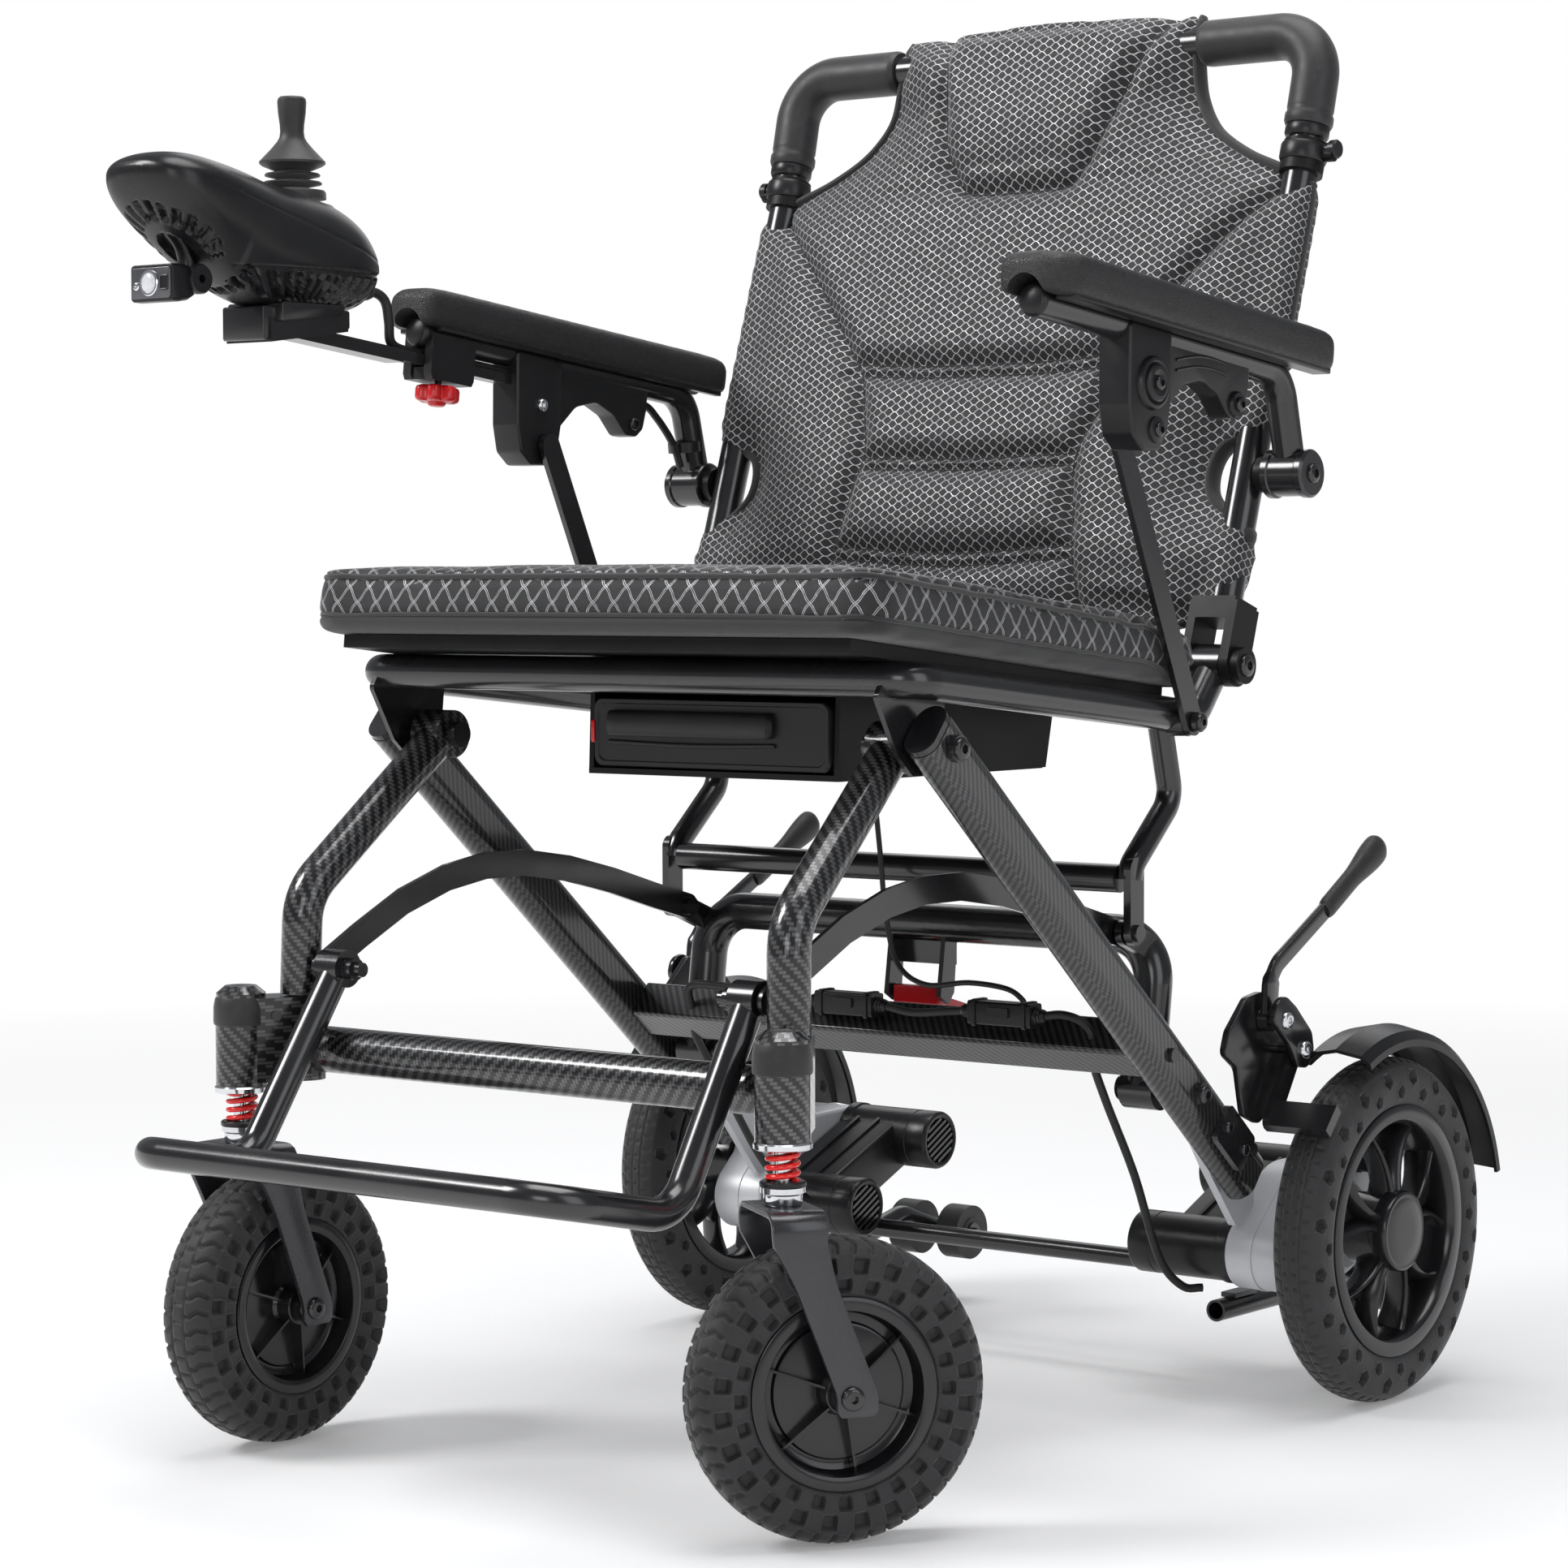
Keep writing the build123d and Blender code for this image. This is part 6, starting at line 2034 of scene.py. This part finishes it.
def connector(x0, x1, y, z):
    """A boxy in-line connector with two collars, a catch in front and ribbed cable boots."""
    depth, height = 15.0, 17.0
    parts = []
    for start, end, scale in ((x0, x1, 1.0), (x0 + 4, x0 + 7, 1.14), (x1 - 7, x1 - 4, 1.14)):
        half_y, half_z = depth / 2 * scale, height / 2 * scale
        parts.append(prism(rounded_rect(-half_y, half_y, -half_z, half_z, 2.4, 4),
                           (start, y, z), (0, 1, 0), Z_AXIS, X_AXIS, end - start))
    parts.append(prism(rounded_rect(-9, 9, -3.4, 3.4, 1.2, 3),
                       ((x0 + x1) / 2, y - depth / 2 - 1.6, z + 1), X_AXIS, Z_AXIS,
                       (0, 1, 0), 2.2))
    boot = [(-1, 2.6), (-1, 6.2), (2, 6.0), (2.6, 5.0), (4, 5.4), (4.8, 4.6), (6.2, 5.0),
            (9, 3.9), (9, 2.6)]
    for x, out in ((x0, -1), (x1, 1)):
        parts.append(lathe(boot, (x, y, z), (out, 0, 0), 24))
    return join(parts)


# centre lines of the leads along the beam and down to the motors
MOTOR_LEADS = (
    [(-172, -206, 270), (-170, -212, 289), (-150, -214, 293), (-100, -214, 290),
     (-53, -211, 287)],
    [(13, -211, 287), (40, -213, 284), (70, -216, 287), (90, -217, 289)],
    [(156, -217, 289), (172, -216, 291), (186, -213, 287), (191, -207, 277), (184, -196, 258),
     (178, -170, 226), (176, -130, 168), (172, -92, 104), (178, -70, 80), (188, -58, 78)],
    [(-172, -206, 270), (-178, -194, 250), (-178, -160, 206), (-177, -118, 150),
     (-175, -88, 124), (-178, -66, 116)])
BATTERY_LEAD = [(2, -212, 470), (4, -212, 446), (8, -210, 400), (12, -208, 352),
                (24, -210, 318), (52, -214, 305), (92, -217, 309), (126, -219, 307),
                (140, -219, 300), (142, -218, 294)]

controller_cables()
part("inline_connectors", join([connector(-46, 6, -211, 287), connector(96, 150, -217, 289)]),
     PLASTIC, "main_frame", "rubber", "motor_cables", sharp=34)
part("motor_leads", join([cable_shape(points, 3.1) for points in MOTOR_LEADS]), CABLE,
     "main_frame", "rubber", sharp=60)
loose_cable("battery_lead", BATTERY_LEAD, 2.0)


# ------------------------------------------------------------------ drive units
def hull(points):
    """Convex outline around 2D points."""
    points = sorted(set((round(a, 4), round(b, 4)) for a, b in points))

    def half(row):
        out = []
        for p in row:
            while len(out) > 1 and ((out[-1][0] - out[-2][0]) * (p[1] - out[-2][1])
                                    - (out[-1][1] - out[-2][1]) * (p[0] - out[-2][0])) <= 0:
                out.pop()
            out.append(p)
        return out[:-1]
    return half(points) + half(points[::-1])


def disc_outline(discs, grow=0.0):
    """Outline stretched around (y, z, radius) discs."""
    return hull([(y + (radius + grow) * cos(t), z + (radius + grow) * sin(t))
                 for y, z, radius in discs
                 for t in np.linspace(0, 2 * pi, 40, endpoint=False)])


MOTOR_CENTRES = ((-46, 106), (52, 148))     # (y, z)
# (place outwards, radius)
MOTOR_CAN = [(132.0, 17.6), (129.0, 18.0), (128.2, 19.2), (128.2, 20.8), (129.2, 22.2),
             (131.0, 23.0), (146, 23.0), (146.6, 22.5), (148.0, 22.5), (148.6, 23.0),
             (205, 23.0), (206, 24.2), (213, 24.2), (214, 23.4)]
GEAR_COVER = [(260, 39.0), (268, 39.0), (270.5, 37.0), (272, 33.0), (275.5, 31.0), (276, 22.6),
              (280, 22.0), (280.2, 8.2), (321, 8.0), (322, 7.2)]
GEAR_DISCS = ((-46, 106, 26.5), (50, 146, 23), (0, 125, 43))
# (y, z) points of the plate up to the rail
GUSSET = [(-128, 200), (-110, 176), (-70, 128), (-46, 130), (-46, 160), (-96, 214)]


def motor_discs(radius):
    return [(y, z, radius) for y, z in MOTOR_CENTRES]


def drive_unit(side, sign):
    """Two motor cans joined by a ribbed web, with slats across their inner ends."""
    outward = (sign, 0, 0)
    slat_pitch, slat_tilt = 4.7, radians(28)
    slat_dir = np.array([0, cos(slat_tilt), sin(slat_tilt)])
    row_dir = np.array([0, -sin(slat_tilt), cos(slat_tilt)])
    cans, slats = [], []
    for y, z in MOTOR_CENTRES:
        cans.append(solid(MOTOR_CAN, (0, y, z), outward, 56))
        for k in range(-3, 4):
            half = sqrt(17.3 ** 2 - (k * slat_pitch) ** 2)
            origin = np.array([sign * 132.2, y, z]) + row_dir * k * slat_pitch
            slats.append(prism(rounded_rect(-half, half, -1.15, 1.15, 1.0, 3), origin,
                               slat_dir, row_dir, (-sign, 0, 0), 3.2))
    web = bevelled_shape(side_prism(disc_outline(motor_discs(19.5)), 160, 54, sign), 3.0, 3, 50)
    ribs = [side_prism(disc_outline(motor_discs(21.4)), x, 3.0, sign) for x in (176, 196)]
    part("drive_unit_" + side, join(cans + [web] + ribs), PLASTIC, "main_frame",
         "black_plastic", *(["drive_units"] if sign > 0 else []), sharp=34)
    part("drive_vents_" + side, join(slats), BLACK, "main_frame", "black_plastic", sharp=34)


def gearbox(side, sign):
    case = bevelled_shape(side_prism(disc_outline(GEAR_DISCS), 214.6, 47, sign), 3.2, 4, 50)
    seam = side_prism(disc_outline(GEAR_DISCS, grow=0.8), 236, 2.2, sign)
    cover = solid(GEAR_COVER, (0, 0, 125), (sign, 0, 0), 64)
    gusset = yz_plate(sign * 218, sign * 224.3, GUSSET, 4)
    part("gearbox_" + side, join([case, seam, cover, gusset]), ALU, "main_frame", "gear_alu",
         *(["gearboxes"] if sign > 0 else []), sharp=34)


for side, sign in SIDES:
    drive_unit(side, sign)
    gearbox(side, sign)

# ------------------------------------------------------------------ carried-over CAD parts
SLOT_FINISH = {
    "black_metal": BLACK, "black_plastic": PLASTIC, "steel": CHROME, "gear_alu": ALU,
    "red_steel": SPRING, "red_plastic": RED, "tyre": TYRE, "rubber": RUBBER,
    "rim_plastic": GLOSSY, "seat_fabric": BACK_NET, "foam": FOAM, "arm_leather": LEATHER,
    "battery_case": CASE, "lamp": LENS, "carbon": CARBON,
}
DEEP = satin("tray_black", (0.004, 0.004, 0.0045), rough=(0.38, 0.50), wear=0.25, spec=0.22)
NODE_FINISH = {
    "back_knuckles": DEEP, "caster_fork_left": GUN, "caster_fork_right": GUN,
    "motor_cables": CABLE, "seat_base": DEEP, "leg_bolts": BLACK, "frame_fittings": BLACK,
    "seat_frame": BLACK, "caster_stem_left": CHROME, "caster_stem_right": CHROME,
}
slot_of = {entry["node"]: entry.get("material_slot")
           for entry in frame["record"].get("subparts", [])}
for name, ob in frame["nodes"].items():
    mat = NODE_FINISH.get(name) or SLOT_FINISH.get(slot_of.get(name), BLACK)
    if len(ob.data.materials) == 0:
        ob.data.materials.append(mat)
    else:
        for i in range(len(ob.data.materials)):
            ob.data.materials[i] = mat


# ------------------------------------------------------------------ stage
def pale_floor():
    """Lit floor under the chair that fades to plain white further out."""
    m = Material("pale_floor")
    geometry = m.node("ShaderNodeNewGeometry")
    m.set(Base_Color=m.mix(m.noise(1.2, detail=2), (0.93, 0.93, 0.935), (0.95, 0.95, 0.955)),
          Roughness=0.55, Specular_IOR_Level=0.25)
    glow = m.node("ShaderNodeEmission")
    glow.inputs["Color"].default_value = (1, 1, 1, 1)
    glow.inputs["Strength"].default_value = 1.0
    blend = m.node("ShaderNodeMixShader")
    x, y, _ = m.sep(Value(m, geometry.outputs["Position"]))
    away = m.math("SQRT", x * x + y * y)
    m.put(blend.inputs[0], away.remap(0.9, 3.0, low=0.18, high=1.0))
    m.tree.links.new(m.bsdf.outputs[0], blend.inputs[1])
    m.tree.links.new(glow.outputs[0], blend.inputs[2])
    m.tree.links.new(blend.outputs[0], m.out.inputs[0])
    return m.mat


FLOOR_HALF, FLOOR_Z = 30000, -0.4
floor_corners = [(a * FLOOR_HALF, b * FLOOR_HALF, FLOOR_Z)
                 for a, b in ((-1, -1), (1, -1), (1, 1), (-1, 1))]
floor = mesh_obj("floor", (floor_corners, [(0, 1, 2, 3)]), pale_floor(), smooth=False)


def studio_world():
    """Soft light for the chair, plain white for the camera."""
    world = bpy.data.worlds.new("studio")
    scene.world = world
    world.use_nodes = True
    tree = world.node_tree
    tree.nodes.clear()

    def background(colour, strength):
        node = tree.nodes.new("ShaderNodeBackground")
        node.inputs["Color"].default_value = colour
        node.inputs["Strength"].default_value = strength
        return node
    out = tree.nodes.new("ShaderNodeOutputWorld")
    light = background(colour=(0.93, 0.95, 1.0, 1), strength=0.24)
    seen = background(colour=(1, 1, 1, 1), strength=1.0)
    ray = tree.nodes.new("ShaderNodeLightPath")
    blend = tree.nodes.new("ShaderNodeMixShader")
    tree.links.new(ray.outputs["Is Camera Ray"], blend.inputs[0])
    tree.links.new(light.outputs[0], blend.inputs[1])
    tree.links.new(seen.outputs[0], blend.inputs[2])
    tree.links.new(blend.outputs[0], out.inputs[0])


studio_world()


def area(name, at, aim, size, power, colour=(1, 1, 1), tall=None):
    """An area light; places are in metres from the rear axle, power in watts."""
    light = bpy.data.lights.new(name, "AREA")
    light.shape = "RECTANGLE"
    light.size = size
    light.size_y = tall or size
    light.energy = power
    light.color = colour
    ob = bpy.data.objects.new(name, light)
    scene.collection.objects.link(ob)
    ob.location = Vector(at) + Vector((0, AXLE_Y, 0))
    ob.rotation_euler = (Vector(aim) - Vector(at)).to_track_quat("-Z", "Y").to_euler()


area("key", at=(-2.2, -2.6, 3.1), aim=(0, -0.3, 0.5), size=1.3, power=105)
area("top", at=(0.2, -0.2, 3.4), aim=(0, -0.3, 0.4), size=2.2, power=74)
area("side_right", at=(3.0, -0.9, 1.6), aim=(0, -0.2, 0.5), size=1.6, power=20,
     colour=(0.97, 0.98, 1.0), tall=2.4)
area("rim_back", at=(-1.8, 2.4, 2.3), aim=(0, -0.2, 0.6), size=2.0, power=14)
area("low_front", at=(1.6, -3.4, 1.3), aim=(0, -0.4, 0.4), size=1.2, power=14)


# ------------------------------------------------------------------ camera
def add_camera(place_m, heading, elevation, roll):
    """Angles in degrees; heading turns from the front towards the chair's left."""
    heading, elevation, roll = radians(heading), radians(elevation), radians(roll)
    backward = np.array([sin(heading) * cos(elevation), -cos(heading) * cos(elevation),
                         sin(elevation)])
    level = np.array([cos(heading), sin(heading), 0])
    upright = np.cross(backward, level)
    right = cos(roll) * level + sin(roll) * upright
    up = -sin(roll) * level + cos(roll) * upright
    data = bpy.data.cameras.new("camera")
    camera = bpy.data.objects.new("camera", data)
    scene.collection.objects.link(camera)
    pose = Matrix.Identity(4)
    for i in range(3):
        for column, vector in enumerate((right, up, backward, place_m)):
            pose[i][column] = vector[i]
    camera.matrix_world = pose
    data.sensor_fit = "HORIZONTAL"
    data.sensor_width = 36.0
    data.lens = 94.87453416
    data.shift_x = -0.00641821946
    data.shift_y = 0.00046583851
    data.clip_end = 200
    scene.camera = camera


add_camera(place_m=(1.8023, -2.6041 + AXLE_Y, 0.6024), heading=38.04, elevation=2.96, roll=-0.18)
scene.view_settings.view_transform = "Standard"
